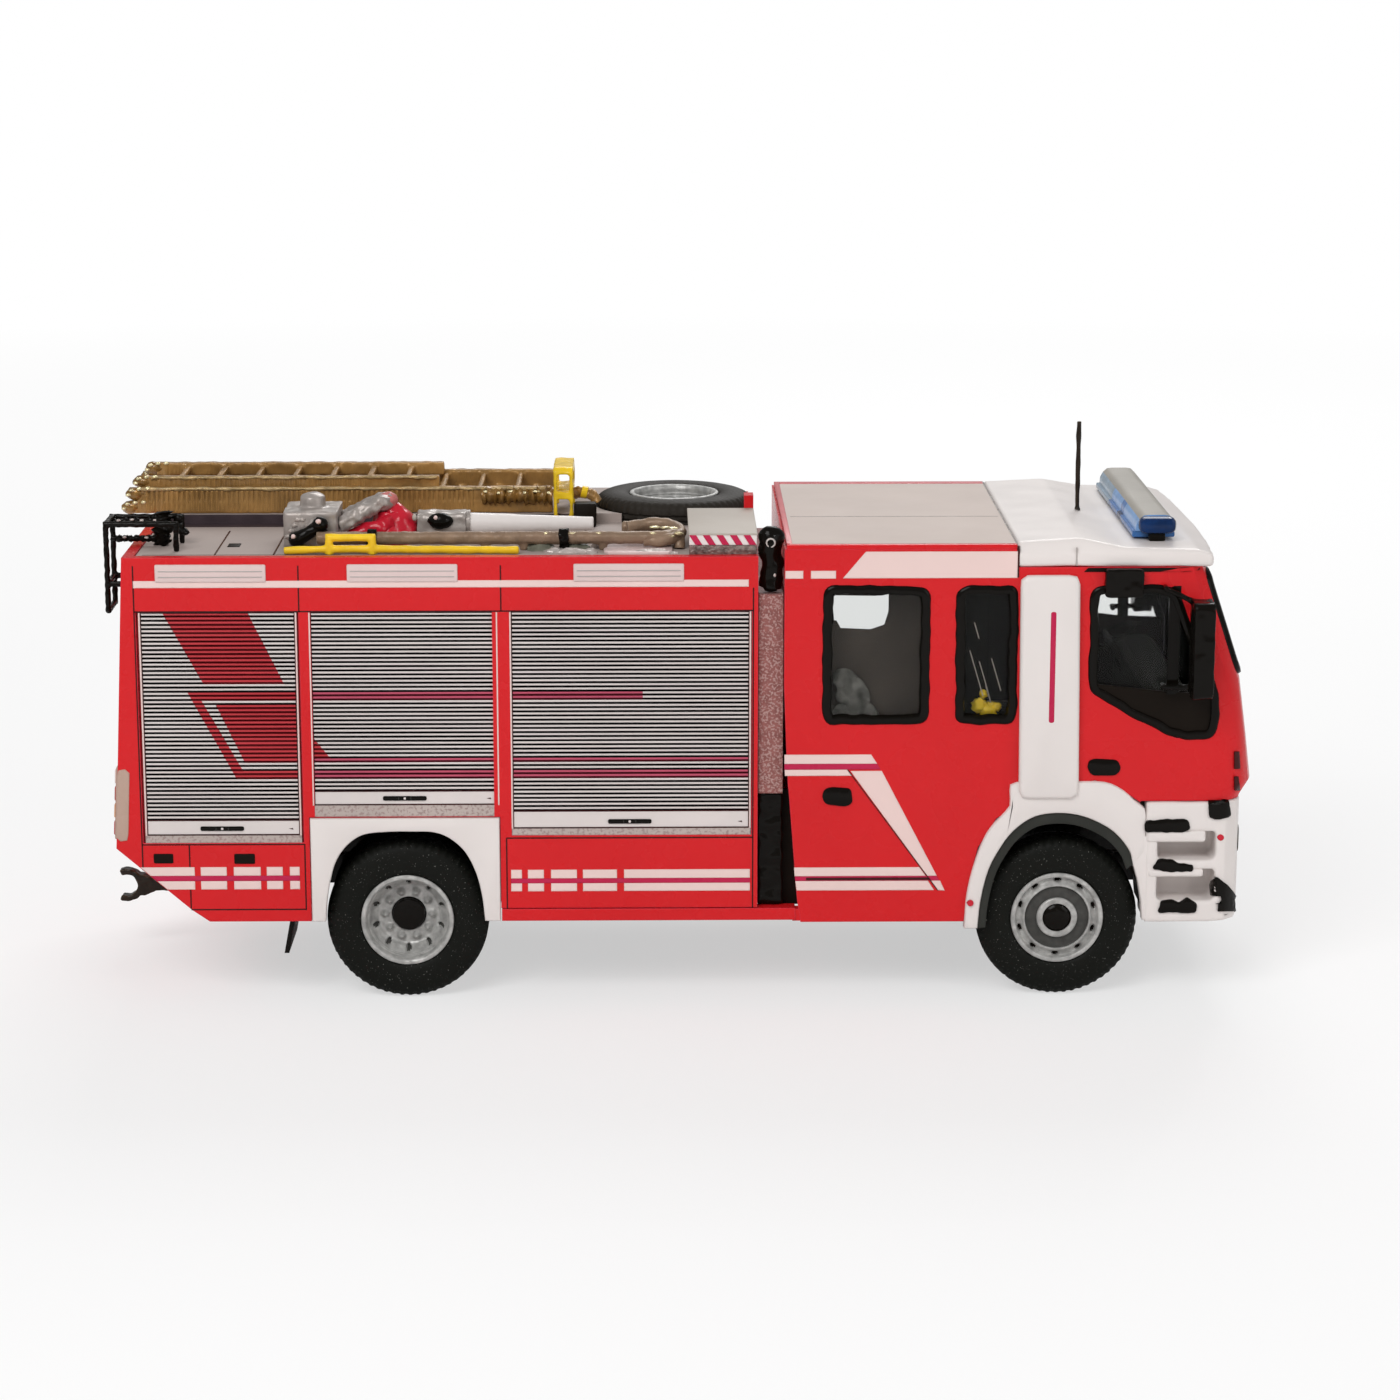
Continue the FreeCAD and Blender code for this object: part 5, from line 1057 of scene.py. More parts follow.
def build_cab_skin():
    """The cab shell again, with its inside and window edges painted dark."""
    mesh = frame["nodes"]["cab_shell"].data.copy()
    mesh.materials.clear()
    for name in ("red_paint", "cabin_dark"):
        mesh.materials.append(materials[name])
    low, high = node_box("cab_shell")
    middle_x = (low.x + high.x) / 2
    skin = body_side - cab_wall / 2
    for face in mesh.polygons:
        centre, normal = face.center / MM, face.normal
        inner = abs(centre.y) < skin
        inside = inner and centre.y * normal.y < -0.01 and abs(normal.y) > 0.5
        inside = inside or (inner and (centre.x - middle_x) * normal.x < 0 and abs(normal.x) > 0.5)
        inside = inside or (inner and normal.z < -0.5 and centre.z > 20)
        if skin - cab_wall / 2 - 0.05 < abs(centre.y) < body_side - 0.02 and abs(normal.y) < 0.5:
            for outline in (crew_window, narrow_window, door_window):
                across, up = zip(*outline)
                near = min(across) - 0.2 < centre.x < max(across) + 0.2
                inside = inside or (near and min(up) - 0.2 < centre.z < max(up) + 0.2)
        in_screen = centre.x > 36 and abs(centre.y) < 12.9 and 24.4 < centre.z < 32
        face.material_index = int(inside or (in_screen and normal.x < 0.7))
    work = bmesh.new()
    work.from_mesh(mesh)
    bmesh.ops.remove_doubles(work, verts=work.verts, dist=0.001 * MM)
    work.to_mesh(mesh)
    work.free()
    finish_piece("cab_skin", mesh, "red_paint", stands_for=("cab_shell",), smooth=24)


door_handles = [
    [(11.0, 15.6), (11.2, 16.15), (11.7, 16.3), (13.15, 16.2), (13.3, 15.1), (12.8, 14.8), (11.25, 15.0)],
    [(30.45, 17.7), (30.6, 18.25), (31.0, 18.38), (32.7, 18.28), (33.0, 17.6), (32.6, 17.1), (30.8, 17.1)],
]
# Wiper arms and blades from their starts: route as across, up and depth, with its radius
wiper_routes = [
    ([(0, 24.9, 0.25), (1.6, 25.1, 0.3), (3.4, 26.2, 0.28), (5.4, 28.4, 0.22)], 0.1),
    ([(2.2, 25.2, 0.16), (4.6, 27.8, 0.16), (6.6, 30.4, 0.14)], 0.09),
]


def build_cab_trim():
    seals = Pile()
    trim = Pile()
    for side in SIDES:
        place = on_cab(side)
        for outline, radius, seed in ((crew_window, 1.0, 1), (narrow_window, 0.9, 2), (door_window, 1.1, 3)):
            ring = round_corners(inset(outline, -0.12), radius)
            seals.add(bead(ring, 0.72, 0.16, place, 0.24, 0.13, seed), "black_plastic")
        trim.add(prism(even(door_wedge, 0.5), -0.24, -0.05, place), "matt_black")
        divider = box_outline(36.15, 37.0, 23.2, 31.25)
        trim.add(prism(even(divider, 0.5), -0.24, 0.03, place), "black_plastic")
        trim.pad("magenta", round_box(27.48, 27.92, 21.2, 29.5, 0.2), 14.3, 14.98, 0.08, on_side(side))
        for handle in door_handles:
            trim.pad("black_plastic", even(round_corners(handle, 0.3), 0.15), -0.1, 0.12, 0.07, place)
        gap_line = box_outline(29.9, 39.2, 32.3, 32.6)
        trim.add(prism(even(gap_line, 0.6), -0.1, 0.05, place), "matt_black")
    screen = round_corners(inset(box_outline(-12.85, 12.85, 24.45, 31.95), -0.25), 1.4)
    seals.add(bead(screen, 0.95, 0.3, on_screen, 0.4, 0.06, 4), "black_plastic")
    seals.build("window_seals", "black_plastic", smooth=60)
    for start in (-6.4, 1.2):
        for route, radius in wiper_routes:
            trim.cord("black_plastic", [on_screen(start + u, v, depth) for u, v, depth in route], radius, 6)
    trim.build("cab_trim", "black_plastic")


# Details inside the narrow and the crew windows: panels, pale streaks of painted reflection from the glass
# and a yellow jacket

glare_streaks = [(21.8, 26.2, 3.4), (22.5, 25.4, 3.0), (23.4, 25.6, 2.4), (22.1, 28.3, 1.2), (23.0, 23.6, 1.3)]
jacket = [(22.6, 22.0, 0.55), (23.3, 21.6, 0.6), (23.9, 21.9, 0.35), (22.9, 22.9, 0.3)]
low_seats = [(12.6, 21.3, 0.9), (13.5, 21.2, 1.0), (14.3, 21.2, 0.9)]
near_seats = [(12.7, 24.0, 0.9), (13.4, 22.9, 1.2)]
seat_back = [(10.6, 20.4), (19.0, 20.4), (19.0, 31.6), (15.9, 31.6), (15.9, 29.0), (15.6, 28.0),
             (14.6, 27.65), (12.4, 27.75), (12.1, 28.3), (11.5, 28.4), (11.55, 29.8), (12.0, 30.2),
             (15.0, 30.15), (15.7, 31.6), (10.6, 31.6)]
# How far from the middle plane the things behind the glass lie
seen_depth = 12.6


def build_window_views():
    views = Pile()

    def lumps(finish, side, spots, thickness, unevenness, wave):
        places = [(u, side * seen_depth, v, size, thickness, size) for u, v, size in spots]
        views.drops(finish, places, unevenness, wave)

    views.slab("cabin_dark", (19.9, 24.4, 20.9, 31.2), -0.25, 0.25, on_side(1))
    for side in SIDES:
        # Painted reflection: pale slanting streaks just inside the narrow window's glass
        for u, v, length in glare_streaks:
            lean = length * 0.3
            bar = [(u, v), (u + 0.07, v + 0.02), (u + 0.07 + lean, v - length), (u + lean, v - length)]
            views.add(prism(bar, 12.9, 12.95, on_side(side)), "lid_grey")
        lumps("yellow_paint", side, jacket, 0.3, 0.5, 0.4)
        lumps("seat_light", side, low_seats, 0.25, 0.3, 0.7)
    lumps("seat_light", -1, near_seats, 0.25, 0.3, 0.7)
    views.add(prism(seat_back, 12.0, 12.1, on_side(-1)), "cabin_grey")
    views.build("window_views", "seat_grey", smooth=60)


painted_nodes = ("cab_shell", "front_fenders", "bumper", "pillar_panels", "body_shell", "side_sills")

# Thick paint, traced in the photograph's pixels: outline, finish, how ragged its sides are
patches = [
    ([(1234, 751), (1238, 751), (1239, 769), (1234, 769)], "line_dark", 0.0),
    ([(1234, 776), (1238, 776), (1239, 790), (1234, 790)], "line_dark", 0.0),
    ([(1208, 801), (1227.5, 799.5), (1230, 815), (1225, 818.5), (1215, 819.5), (1209, 817)],
     "black_plastic", 0.4),
    ([(1210.6, 878.8), (1216.3, 876.3), (1220, 878.8), (1227.5, 885.6), (1233.8, 893.8), (1237, 900.6),
      (1237, 907.5), (1233.8, 911.9), (1221.3, 915.6), (1212.5, 915.6), (1210.6, 910), (1211.3, 892.5)],
     "black_plastic", 0.4),
]
red_dots = [(1220.5, 837.4), (970.3, 903)]
# The same on the flat side of the bumper, as (X, Z)
side_patches = [
    [(34.8, 12.9), (34.7, 13.5), (35.1, 13.8), (37.5, 13.9), (38.0, 13.75), (38.15, 13.1), (37.6, 12.85)],
    [(35.4, 10.1), (35.8, 10.85), (36.9, 10.75), (37.6, 10.45), (38.5, 10.4), (38.4, 9.9), (36.8, 9.85)],
    [(35.9, 6.75), (36.1, 7.6), (36.9, 7.75), (37.4, 7.45), (38.1, 7.95), (38.85, 7.3), (38.7, 6.7)],
]
side_ledges = [(34.95, 39.3, 12.1, 12.95), (35.1, 39.2, 9.45, 10.05)]
# The fender's foot between the tyre and the bumper, as (X, Z)
fender_foot = [(33.6, 12.4), (35.2, 12.6), (35.2, 6.3), (34.78, 6.1), (34.66, 7.6), (34.4, 9.1), (34.0, 10.4)]


def circle(radius, count):
    return [(radius * math.cos(TURN * k / count), radius * math.sin(TURN * k / count)) for k in range(count)]


def build_patches():
    paint = Pile()
    for outline, finish, ragged in patches:
        photo_patch(paint, outline, finish, 0.13, ragged)
    for box in side_ledges:
        for side in SIDES:
            paint.pad("white_paint", round_box(*box, 0.25), 14.0, 14.72, 0.16, on_side(side))
    for side in SIDES:
        paint.pad("white_paint", fender_foot, 13.5, 14.6, 0.1, on_side(side))
    for k, outline in enumerate(side_patches):
        ragged = wobbly(even(round_corners(outline, 0.2), 0.12), 0.08, k, 0.5)
        for side in SIDES:
            paint.pad("black_plastic", ragged, 14.5, 14.8, 0.05, on_side(side))
    for px, py in red_dots:
        photo_patch(paint, [(px + x, py + y) for x, y in circle(3.3, 12)], "monitor_red", 0.05)
    paint.build("painted_patches", "black_plastic", smooth=60)


# Parts of the light bar from its right end to its left: upper lens, lower strip, Y of both ends
bar_parts = [
    ("cap_blue", "cap_blue", -11.5, -10.4), ("blue_pale", "blue_lamp", -10.4, -3.4),
    ("blue_lamp", "cap_blue", -3.4, -1.6), ("blue_pale", "blue_lamp", -1.6, 3.6),
    ("bar_clear", "bar_clear", 3.6, 11.5),
]


def build_light_bar():
    """A housing with lens blocks over a lower strip: a deep blue end, pale and clear lenses, a beige lid."""
    low, high = node_box("light_bar")
    rear, front, top = low.x, high.x, high.z
    strip = low.z + 0.62
    bar = Pile()

    def place(u, v, depth):
        return (u, depth, v)

    for lens, lower, y0, y1 in bar_parts:
        if lens == "cap_blue":
            bar.pad(lens, round_box(rear, front, strip - 0.02, top - 0.04, 0.55, 6), y0, y1, 0.3, place)
            continue
        edges = [(rear - 0.15, strip), (rear - 0.1, strip + 0.5), (rear + 0.12, top - 0.32),
                 (rear + 0.42, top - 0.05), (rear + 0.8, top), (front - 0.8, top), (front - 0.42, top - 0.05),
                 (front - 0.12, top - 0.32), (front, strip + 0.5), (front - 0.02, strip)]
        points, faces = prism(edges, y0, y1, place)
        finishes = []
        for face in faces:
            height = sum(points[i][2] for i in face) / len(face)
            finishes.append("bar_top" if height > top - 0.22 and len(face) == 4 else lens)
        bar.add((points, faces), finishes)
        shelf = round_box(rear - 0.4, front + 0.01, strip - 0.42, strip + 0.03, 0.12, 3)
        bar.add(prism(shelf, y0, y1, place), lower)
    foot = round_box(rear + 0.75, front - 0.75, low.z, strip, 0.15)
    for side in SIDES:
        bar.pad("black_plastic", foot, high.y - 1.7, high.y - 0.35, 0.1, on_side(side))
    bar.build("light_bar_lenses", "blue_lamp", stands_for=("light_bar",))


# Front: lamps, grille, intake and blank plate

bumper_corner = 2.6
lamp_y0, lamp_y1 = 9.1, 12.0
grille_low = 17.27
grille_pitch = 0.95


def nose_low_at(y):
    """X of the bumper's front at a distance from the middle, with its rounded corner."""
    high = node_box("bumper")[1]
    past = min(max(abs(y) - (high.y - bumper_corner), 0.0), 2.5)
    return high.x - bumper_corner + math.sqrt(bumper_corner ** 2 - past ** 2)


def build_front():
    front = Pile()
    low, high = node_box("headlamps")
    for side in SIDES:
        def lift(u, v, depth):
            return (nose_low_at(u) + depth, side * u, v)

        lamp = round_box(lamp_y0, lamp_y1, low.z, high.z, 0.5)
        front.pad("lens_clear", even(lamp, 0.4), -0.4, 0.02, 0.1, lift)
        front.add(bead(inset(lamp, -0.1), 0.26, 0.07, lift, 0.1, 0.02), "hook_brown")
        for y in (lamp_y0 + 0.8, lamp_y1 - 0.85):
            bowl = spin([(0.62, -0.02), (0.55, -0.3), (0.2, -0.42), (0.0, -0.42)], 24,
                        lambda a, b, d: lift(y + a, (low.z + high.z) / 2 + b, d))
            front.add(bowl[:2], "rim_silver")
        front.pad("matt_black", even(round_box(7.4, 9.2, 8.3, 9.5, 0.3), 0.4), -0.2, 0.03, 0.08, lift)
    tip = node_box("bumper")[1].x
    front.add(prism(round_box(-5.9, 5.9, 8.1, 9.9, 0.3), tip - 0.7, tip - 0.45, on_front), "matt_black")
    for k in range(9):
        y = -5.2 + 1.3 * k
        front.slab("dish_grey", (y - 0.1, y + 0.1, 8.1, 9.9), tip - 0.5, tip - 0.3, on_front)
    front.pad("white_paint", round_box(-3.2, 3.2, 10.7, 12.2, 0.15), tip - 0.05, tip + 0.08, 0.04, on_front)
    for k in range(3):
        z = grille_low + grille_pitch * k
        bar = box_outline(-9.6, 9.6, z - 0.16, z + 0.16)
        front.add(prism(even(bar, 0.16), -0.1, 0.06, on_screen), "black_plastic")
    front.add(bead(round_box(-10.9, 10.9, 16.2, 21.6, 0.8), 0.09, 0.03, on_screen, 0.05), "line_dark")
    front.build("front_details", "lamp_white", stands_for=("headlamps",))


# Rear: corner lamps, slatted shutter, plain panel and its lines

tail_low_x, tail_high_x = -40.72, -39.62


def tail_face(z):
    """X of the leaning tail at a height."""
    return tail_low_x + (tail_high_x - tail_low_x) * (z - slope_z) / (33.5 - slope_z)


def on_tail(u, v, depth):
    """Across is Y, up is Z and depth is measured backwards from the tail's skin."""
    return (tail_face(v) - depth, u, v)


def build_tail():
    tail = Pile()
    low, high = node_box("tail_shutter")
    add_shutter(tail, [], low.y + 0.1, high.y - 0.1, low.z + 0.05, high.z - 0.05, 0.55, on_tail, 0.06, -0.3)
    tail.build("tail_shutter_slatted", "shutter_grey", stands_for=("tail_shutter",))
    lenses = Pile()
    for side in SIDES:
        def lean(u, v, depth):
            return (u + tail_face(v) - tail_face(12.4), side * depth, v)

        def mirrored(u, v, depth):
            return on_tail(side * u, v, depth)

        strip = even(round_box(-40.8, -39.9, 12.35, 17.8, 0.3), 0.5)
        lenses.pad("lamp_tail", strip, body_side - 0.1, body_side + 0.07, 0.05, lean)
        body = even(round_box(12.85, 13.85, 12.35, 17.85, 0.25), 0.5)
        lenses.pad("lamp_tail", body, -0.1, 0.28, 0.08, mirrored)
        for k, lens in enumerate(("lens_red", "lens_amber", "lens_red", "mark_white")):
            z = 12.65 + 1.3 * k
            lenses.pad(lens, round_box(12.99, 13.71, z, z + 1.1, 0.2), 0.2, 0.37, 0.08, mirrored)
    lenses.build("rear_lamp_lenses", "lamp_tail", stands_for=("rear_lamps",))
    marks = Pile()
    marks.slab("mark_white", (-13.9, 13.9, 31.28, 31.8), -0.05, 0.04, on_tail)
    for z in (30.3, 12.25):
        marks.slab("line_dark", (-13.9, 13.9, z - 0.05, z + 0.05), -0.05, 0.03, on_tail)
    for side in SIDES:
        y = side * 12.6
        marks.slab("line_dark", (y - 0.05, y + 0.05, 12.3, 30.3), -0.05, 0.03, on_tail)
        y = side * 6.6
        marks.pad("lamp_white", round_box(y - 2.2, y + 2.2, 31.95, 32.95, 0.2), -0.05, 0.12, 0.06, on_tail)
    marks.build("tail_marks", "white_paint")


# Roof: lamps at the edge, deck lines, load

deck_height = 33.4
# Dark lines across the deck: X and both ends' Y
deck_lines = [(-33.15, -12.8, -2.8), (-28.88, -12.8, -5.0), (-13.2, -6.2, 0.2), (-6.4, -6.2, 0.2)]
# Lumps of paint and metal on the deck: finish, X, Y, half lengths along X and Y, height
roof_lumps = [
    ("moss_grey", -9.6, -10.6, 1.3, 0.9, 0.5), ("foil", -8.4, -11.9, 0.9, 0.6, 0.35),
    ("foil", -7.2, -12.3, 1.3, 0.5, 0.4), ("moss_grey", -7.0, -10.8, 0.9, 0.6, 0.5),
    ("foil", -5.9, -12.2, 0.5, 0.5, 0.35), ("foil", -15.0, -11.4, 1.5, 0.7, 0.25),
    ("foil", -12.3, -12.2, 1.1, 0.5, 0.25), ("foil", -1.4, -12.5, 1.9, 0.35, 0.3),
    ("foil", -5.3, -9.5, 0.5, 0.9, 0.9),
]


def build_scene_lamps():
    low, high = node_box("scene_lamps")
    lenses = Pile()
    for centre in (-33.31, -19.46, -3.08):
        x0, x1 = centre - 4, centre + 4
        for side in SIDES:
            lens = round_box(x0, x1, low.z, high.z, 0.12, 3)
            lenses.pad("lamp_pink", lens, body_side - 0.05, high.y, 0.06, on_side(side))
            for share in (0.3, 0.62):
                z = low.z + (high.z - low.z) * share
                groove = (x0 + 0.25, x1 - 0.25, z - 0.035, z + 0.035)
                lenses.slab("roof_line", groove, body_side, high.y + 0.012, on_side(side))
    lenses.build("scene_lamp_fronts", "lamp_white", stands_for=("scene_lamps",))


def build_roof_details():
    roof = Pile()
    under = deck_height - 0.05
    boxes = [(x - 0.06, x + 0.06, y0, y1) for x, y0, y1 in deck_lines] + [(-38.4, -24, -12.75, -12.68)]
    for box in boxes:
        roof.slab("line_dark", box, under, deck_height + 0.02, on_top)
    roof.pad("matt_black", box_outline(-32.6, -31.7, -9.5, -8.2), under, deck_height + 0.05, 0.03, on_top)
    roof.slab("deck_shadow", (-38.7, -6, deck_height + 0.02, deck_height + 0.68), -0.62, -0.55, on_side(-1))
    roof.slab("deck_shadow", (-38.7, -7, -1.1, 0.62), under, deck_height + 0.015, on_top)
    for finish, x, y, *size in roof_lumps:
        roof.drops(finish, [(x, y, deck_height, *size)], 0.5, 0.7)
    plate = even(wobbly(even(round_box(-4.9, 0.1, -12.9, -9.6, 0.4), 0.5), 0.2, 3), 0.5)
    roof.pad("lamp_pink", plate, under, deck_height + 0.2, 0.06, on_top)
    low, high = node_box("crew_roof")
    top = high.z + 0.03
    roof.slab("roof_line", (low.x + 0.4, high.x - 0.3, -2.3, -2.2), high.z - 0.05, high.z + 0.02, on_top)
    for box in ((low.x - 0.3, low.x + 0.12, low.y + 0.12, high.y + 0.1),
                (low.x + 0.12, high.x, high.y - 0.9, high.y + 0.1)):
        roof.pad("edge_red", box_outline(*box), high.z - 0.2, top, 0.03, on_top)
    near_edge = box_outline(low.x - 0.3, high.x, low.y - 0.42, low.y + 0.12)
    roof.pad("red_paint", near_edge, high.z - 0.4, top, 0.08, on_top)
    roof.build("roof_marks", "deck_grey")


def build_locker():
    """Lid, striped edge and rough face of the roof locker."""
    low, high = node_box("roof_locker")
    locker = Pile()
    place = on_side(-1)
    y = -low.y
    top = high.z
    lid = box_outline(low.x - 0.05, high.x + 0.05, low.y - 0.12, high.y)
    locker.pad("lid_grey", lid, top - 0.08, top + 0.06, 0.05, on_top)
    locker.slab("white_paint", (low.x, high.x, top - 0.8, top - 0.06), y - 0.05, y + 0.08, place)
    for k in range(5):
        x = low.x + (high.x - low.x) / 5 * k
        bar = [(x, top - 0.07), (x + 0.5, top - 0.07), (x + 0.96, top - 0.79), (x + 0.46, top - 0.79)]
        locker.add(prism(bar, y, y + 0.11, place), "magenta")
    face = even(box_outline(low.x, high.x, deck_height, top - 0.82), 0.25)
    locker.pad("rough_metal", face, y - 0.1, y + 0.06, 0.04, place)
    locker.build("roof_locker_stripes", "deck_grey")


nozzle_route = [(-27.7, -10.25, 33.95), (-27.2, -10.25, 34.2), (-26.5, -10.2, 34.6), (-25.9, -10.15, 34.95),
                (-25.4, -10.1, 35.2)]
cone_route = [(-21.0, -7.2, 36.2), (-20.4, -7.2, 35.4), (-20.0, -7.3, 34.4), (-20.2, -7.3, 33.6)]
skirt_route = [(-24.6, -8.2, 33.75), (-23.2, -8.3, 34.15), (-21.6, -8.2, 34.6), (-20.6, -7.9, 35.0)]


def growing(route, first, growth):
    """A radius for each point of the curve through a route, from first, larger by growth at its end."""
    count = len(smooth_route(route))
    return [first + growth * k / count for k in range(count)]


def build_monitor():
    """Nozzle, knob, pink elbow and fittings of the roof monitor, with painted glints on the nozzle and the
    knob.
    """
    parts = Pile()
    count = len(smooth_route(nozzle_route))
    waist = [0.58 - 0.1 * math.sin(math.pi * k / count) for k in range(count)]
    parts.cord("black_plastic", nozzle_route, waist, 16, 0.08, 0.5)
    for x, y, z in ((-27.4, -10.3, 34.1), (-25.7, -10.2, 35.15)):
        parts.drops("black_plastic", [(x, y, z, 0.6, 0.6, 0.6)], 0.1)
    # Painted glints: white drops on the nozzle and the knob
    for *place, size in ((-27.6, -10.8, 34.4, 0.17), (-25.75, -10.7, 35.5, 0.19), (-17.3, -8.9, 35.45, 0.15)):
        parts.drops("mark_white", [(*place, size, size, size)], 0.2)
    parts.drops("black_plastic", [(-17.0, -8.4, 35.1, 0.95, 0.5, 0.6)], 0.15)
    parts.drops("pink", [(-20.94, -7.2, 36.5, 0.8, 0.75, 0.6)], 0.15)
    parts.cord("monitor_red", cone_route, growing(cone_route, 0.55, 1.15), 22, 0.25, 0.9)
    parts.cord("monitor_red", skirt_route, growing(skirt_route, 0.35, 0.5), 14, 0.35, 0.5)
    parts.drops("lid_grey", [(-18.9, -8.2, 35.35, 0.18, 0.2, 0.25)], 0.2)
    parts.drops("tool_grey", [(-26.0, -9.75, 34.95, 0.75, 0.4, 0.6)], 0.25, 0.4)
    low = node_box("monitor_base")[0]
    for k in range(14):
        x = low.x + 0.35 + 0.25 * (k % 7) + 1.1 * (k // 7)
        parts.drops("tool_grey", [(x, low.y - 0.02, 34.2 + 0.42 * ((k * 5) % 4), 0.22, 0.08, 0.16)], 0.5, 0.3)
    x = node_box("monitor_barrel")[0].x
    parts.cord("tool_grey", [(x - 0.15, -7.2, 34.8), (x + 0.3, -7.2, 34.8)], 0.95, 18, 0.05)
    parts.build("monitor_fittings", "tool_grey", smooth=60)


rib_pitch = 0.38
# For each ladder: heights of its rails' tips, Y of both rails, heights of its ribs
ladder_rails = {
    "main_ladder": ((34.55, 35.6), (1.3, 9.7), (34.3, 35.85)),
    "top_ladder": ((36.35,), (2.2, 8.8), (36.0, 36.65)),
}
hook_curl = [(-3.2, -8.0, 34.55), (-1.6, -7.7, 34.75), (-0.2, -8.0, 34.75), (0.6, -9.0, 34.6),
             (0.5, -10.3, 34.3), (-0.6, -10.95, 34.1), (-2.0, -10.95, 34.1)]


def build_ladder_ends():
    """Rounded, bright tips of the ladders' rails with painted glints, painted highlight lines along the
    rails' top edges, the rails' ribs, the crumpled end of the lower one with a painted shadow under it, and
    the hook's curl and leg with painted glints.
    """
    tips = Pile()
    for node, (heights, sides, _) in ladder_rails.items():
        for k, z in enumerate(heights):
            x = node_box(node)[0].x - 0.1 + 0.35 * k
            for y in sides:
                tips.drops("bronze_gloss", [(x, y, z, 0.85, 0.5, 0.52)], 0.2, 0.5)
                # Painted glints on each rail's tip
                glints = [(x + dx, y - 0.4, z + dz, 0.2, 0.14, 0.13)
                          for dx, dz in ((-0.35, 0.3), (0.25, 0.42), (0.9, 0.45), (-0.6, -0.05))]
                tips.drops("gold", glints, 0.4, 0.3)
    # Painted highlight: a pale line along the top edge of each ladder's near rail
    for node in ladder_rails:
        low, high = node_box(node)
        length = high.x - low.x - 0.7
        edge = [(low.x + 0.5 + length * k / 60, low.y + 0.02, high.z - 0.1) for k in range(61)]
        tips.add(tube(edge, 0.13, 6, lumps=0.12, wave=0.35), "bronze_light")
    for node, (_, _, ribs) in ladder_rails.items():
        low, high = node_box(node)
        for k in range(int((high.x - low.x - 6.5) / rib_pitch)):
            x = low.x + 1.0 + rib_pitch * k
            tips.slab("ladder_bronze", (x, x + 0.19, *ribs), low.y - 0.03, low.y + 0.2, on_side(1))
    end = node_box("main_ladder")[1].x
    cover = smooth_route([(end - 5.4 + 0.9 * k, 1.05, 35.35 + 0.1 * (k % 2)) for k in range(7)], 5)
    radii = [0.62 + 0.14 * math.sin(2.4 * k) for k in range(len(cover))]
    tips.add(tube(cover, radii, 14, lumps=0.2, wave=0.5), "bronze_gloss")
    # Painted glints along the crumpled end
    glints = [(end - 5.0 + 0.95 * k, 0.62, 35.8 - 0.1 * (k % 2), 0.3, 0.14, 0.1) for k in range(6)]
    tips.drops("gold", glints, 0.45, 0.3)
    tip = [(-7.6, 1.3, 35.5), (-6.7, 1.2, 35.65), (-5.9, 1.1, 35.35), (-5.6, 1.1, 34.9)]
    tips.cord("ladder_bronze", tip, 0.42, 12, 0.2, 0.4)
    tips.add(tube([(-6.75, 1.15, 35.72), (-6.3, 1.13, 35.62)], 0.5, 12, lumps=0.1), "yellow_paint")
    # Painted shadow: a dark block on the deck beneath and in front of the lower ladder's front end
    tips.pad("matt_black", round_box(-7.3, -5.6, 33.4, 35.2, 0.2), -1.6, -0.2, 0.15, on_side(1))
    low, high = node_box("hook_ladder")
    # Painted glints along the hook ladder's rail
    for k in range(16):
        x = low.x + (high.x - low.x) * (0.62 + 0.36 * k / 15)
        if k % 4 != 1:
            tips.drops("gold", [(x, low.y + 0.3, 34.62 - 0.12 * (k % 3), 0.34, 0.16, 0.12)], 0.5, 0.3)
    tips.cord("hook_ladder_brown", hook_curl, 0.43, 14, 0.12, 0.6)
    leg = [(0.55, -9.9, 34.4), (0.62, -10.4, 34.0), (0.6, -10.6, 33.42)]
    tips.cord("hook_ladder_brown", leg, 0.4, 12, 0.12, 0.5)
    # Painted glints on the hook's curl
    for place in ((-0.4, -9.2, 34.72), (0.15, -9.6, 34.74), (-1.2, -8.9, 34.7)):
        tips.drops("gold", [(*place, 0.4, 0.22, 0.1)], 0.4, 0.3)
    tips.build("ladder_tips", "ladder_bronze", smooth=70)


def build_rail_knot():
    """Thick dark paint on the posts and the two bars of the access rails, with small painted glints on the
    bars.
    """
    knot = Pile()
    post = [(-37.2, -8.45, 33.45), (-37.5, -8.5, 34.2), (-37.3, -8.5, 35.0), (-37.4, -8.4, 35.9)]
    radii = [0.55 + 0.12 * math.sin(2 * k) for k in range(len(smooth_route(post)))]
    knot.cord("black_plastic", post, radii, 14, 0.5, 0.5)
    branch = [(-37.4, -8.5, 34.4), (-36.4, -8.5, 34.9), (-35.9, -8.4, 34.3), (-35.6, -8.4, 34.5)]
    knot.cord("black_plastic", branch, 0.28, 10, 0.3, 0.4)
    for x, y, z, size in ((-37.8, -8.1, 35.2, 0.4), (-36.3, -8.2, 35.3, 0.35), (-35.9, -8.1, 34.3, 0.3)):
        knot.drops("black_plastic", [(x, y, z, size, size * 0.7, size)], 0.4, 0.4)
    for k in range(10):
        drops = [(-41.0 + 0.42 * k, -8.55 - 0.12 * (k % 2), z, 0.3, 0.24, 0.24) for z in (33.9, 35.15)]
        knot.drops("black_plastic", drops, 0.5, 0.3)
    # Painted glints: small pale dots on the bars
    for x, z in ((-40.6, 35.3), (-39.6, 35.35), (-38.9, 35.3), (-37.9, 35.3), (-40.2, 34.05), (-38.6, 34.0)):
        knot.drops("foil", [(x, -8.85, z, 0.16, 0.08, 0.08)], 0.4, 0.2)
    knot.build("rail_paint_blobs", "black_plastic", smooth=70)


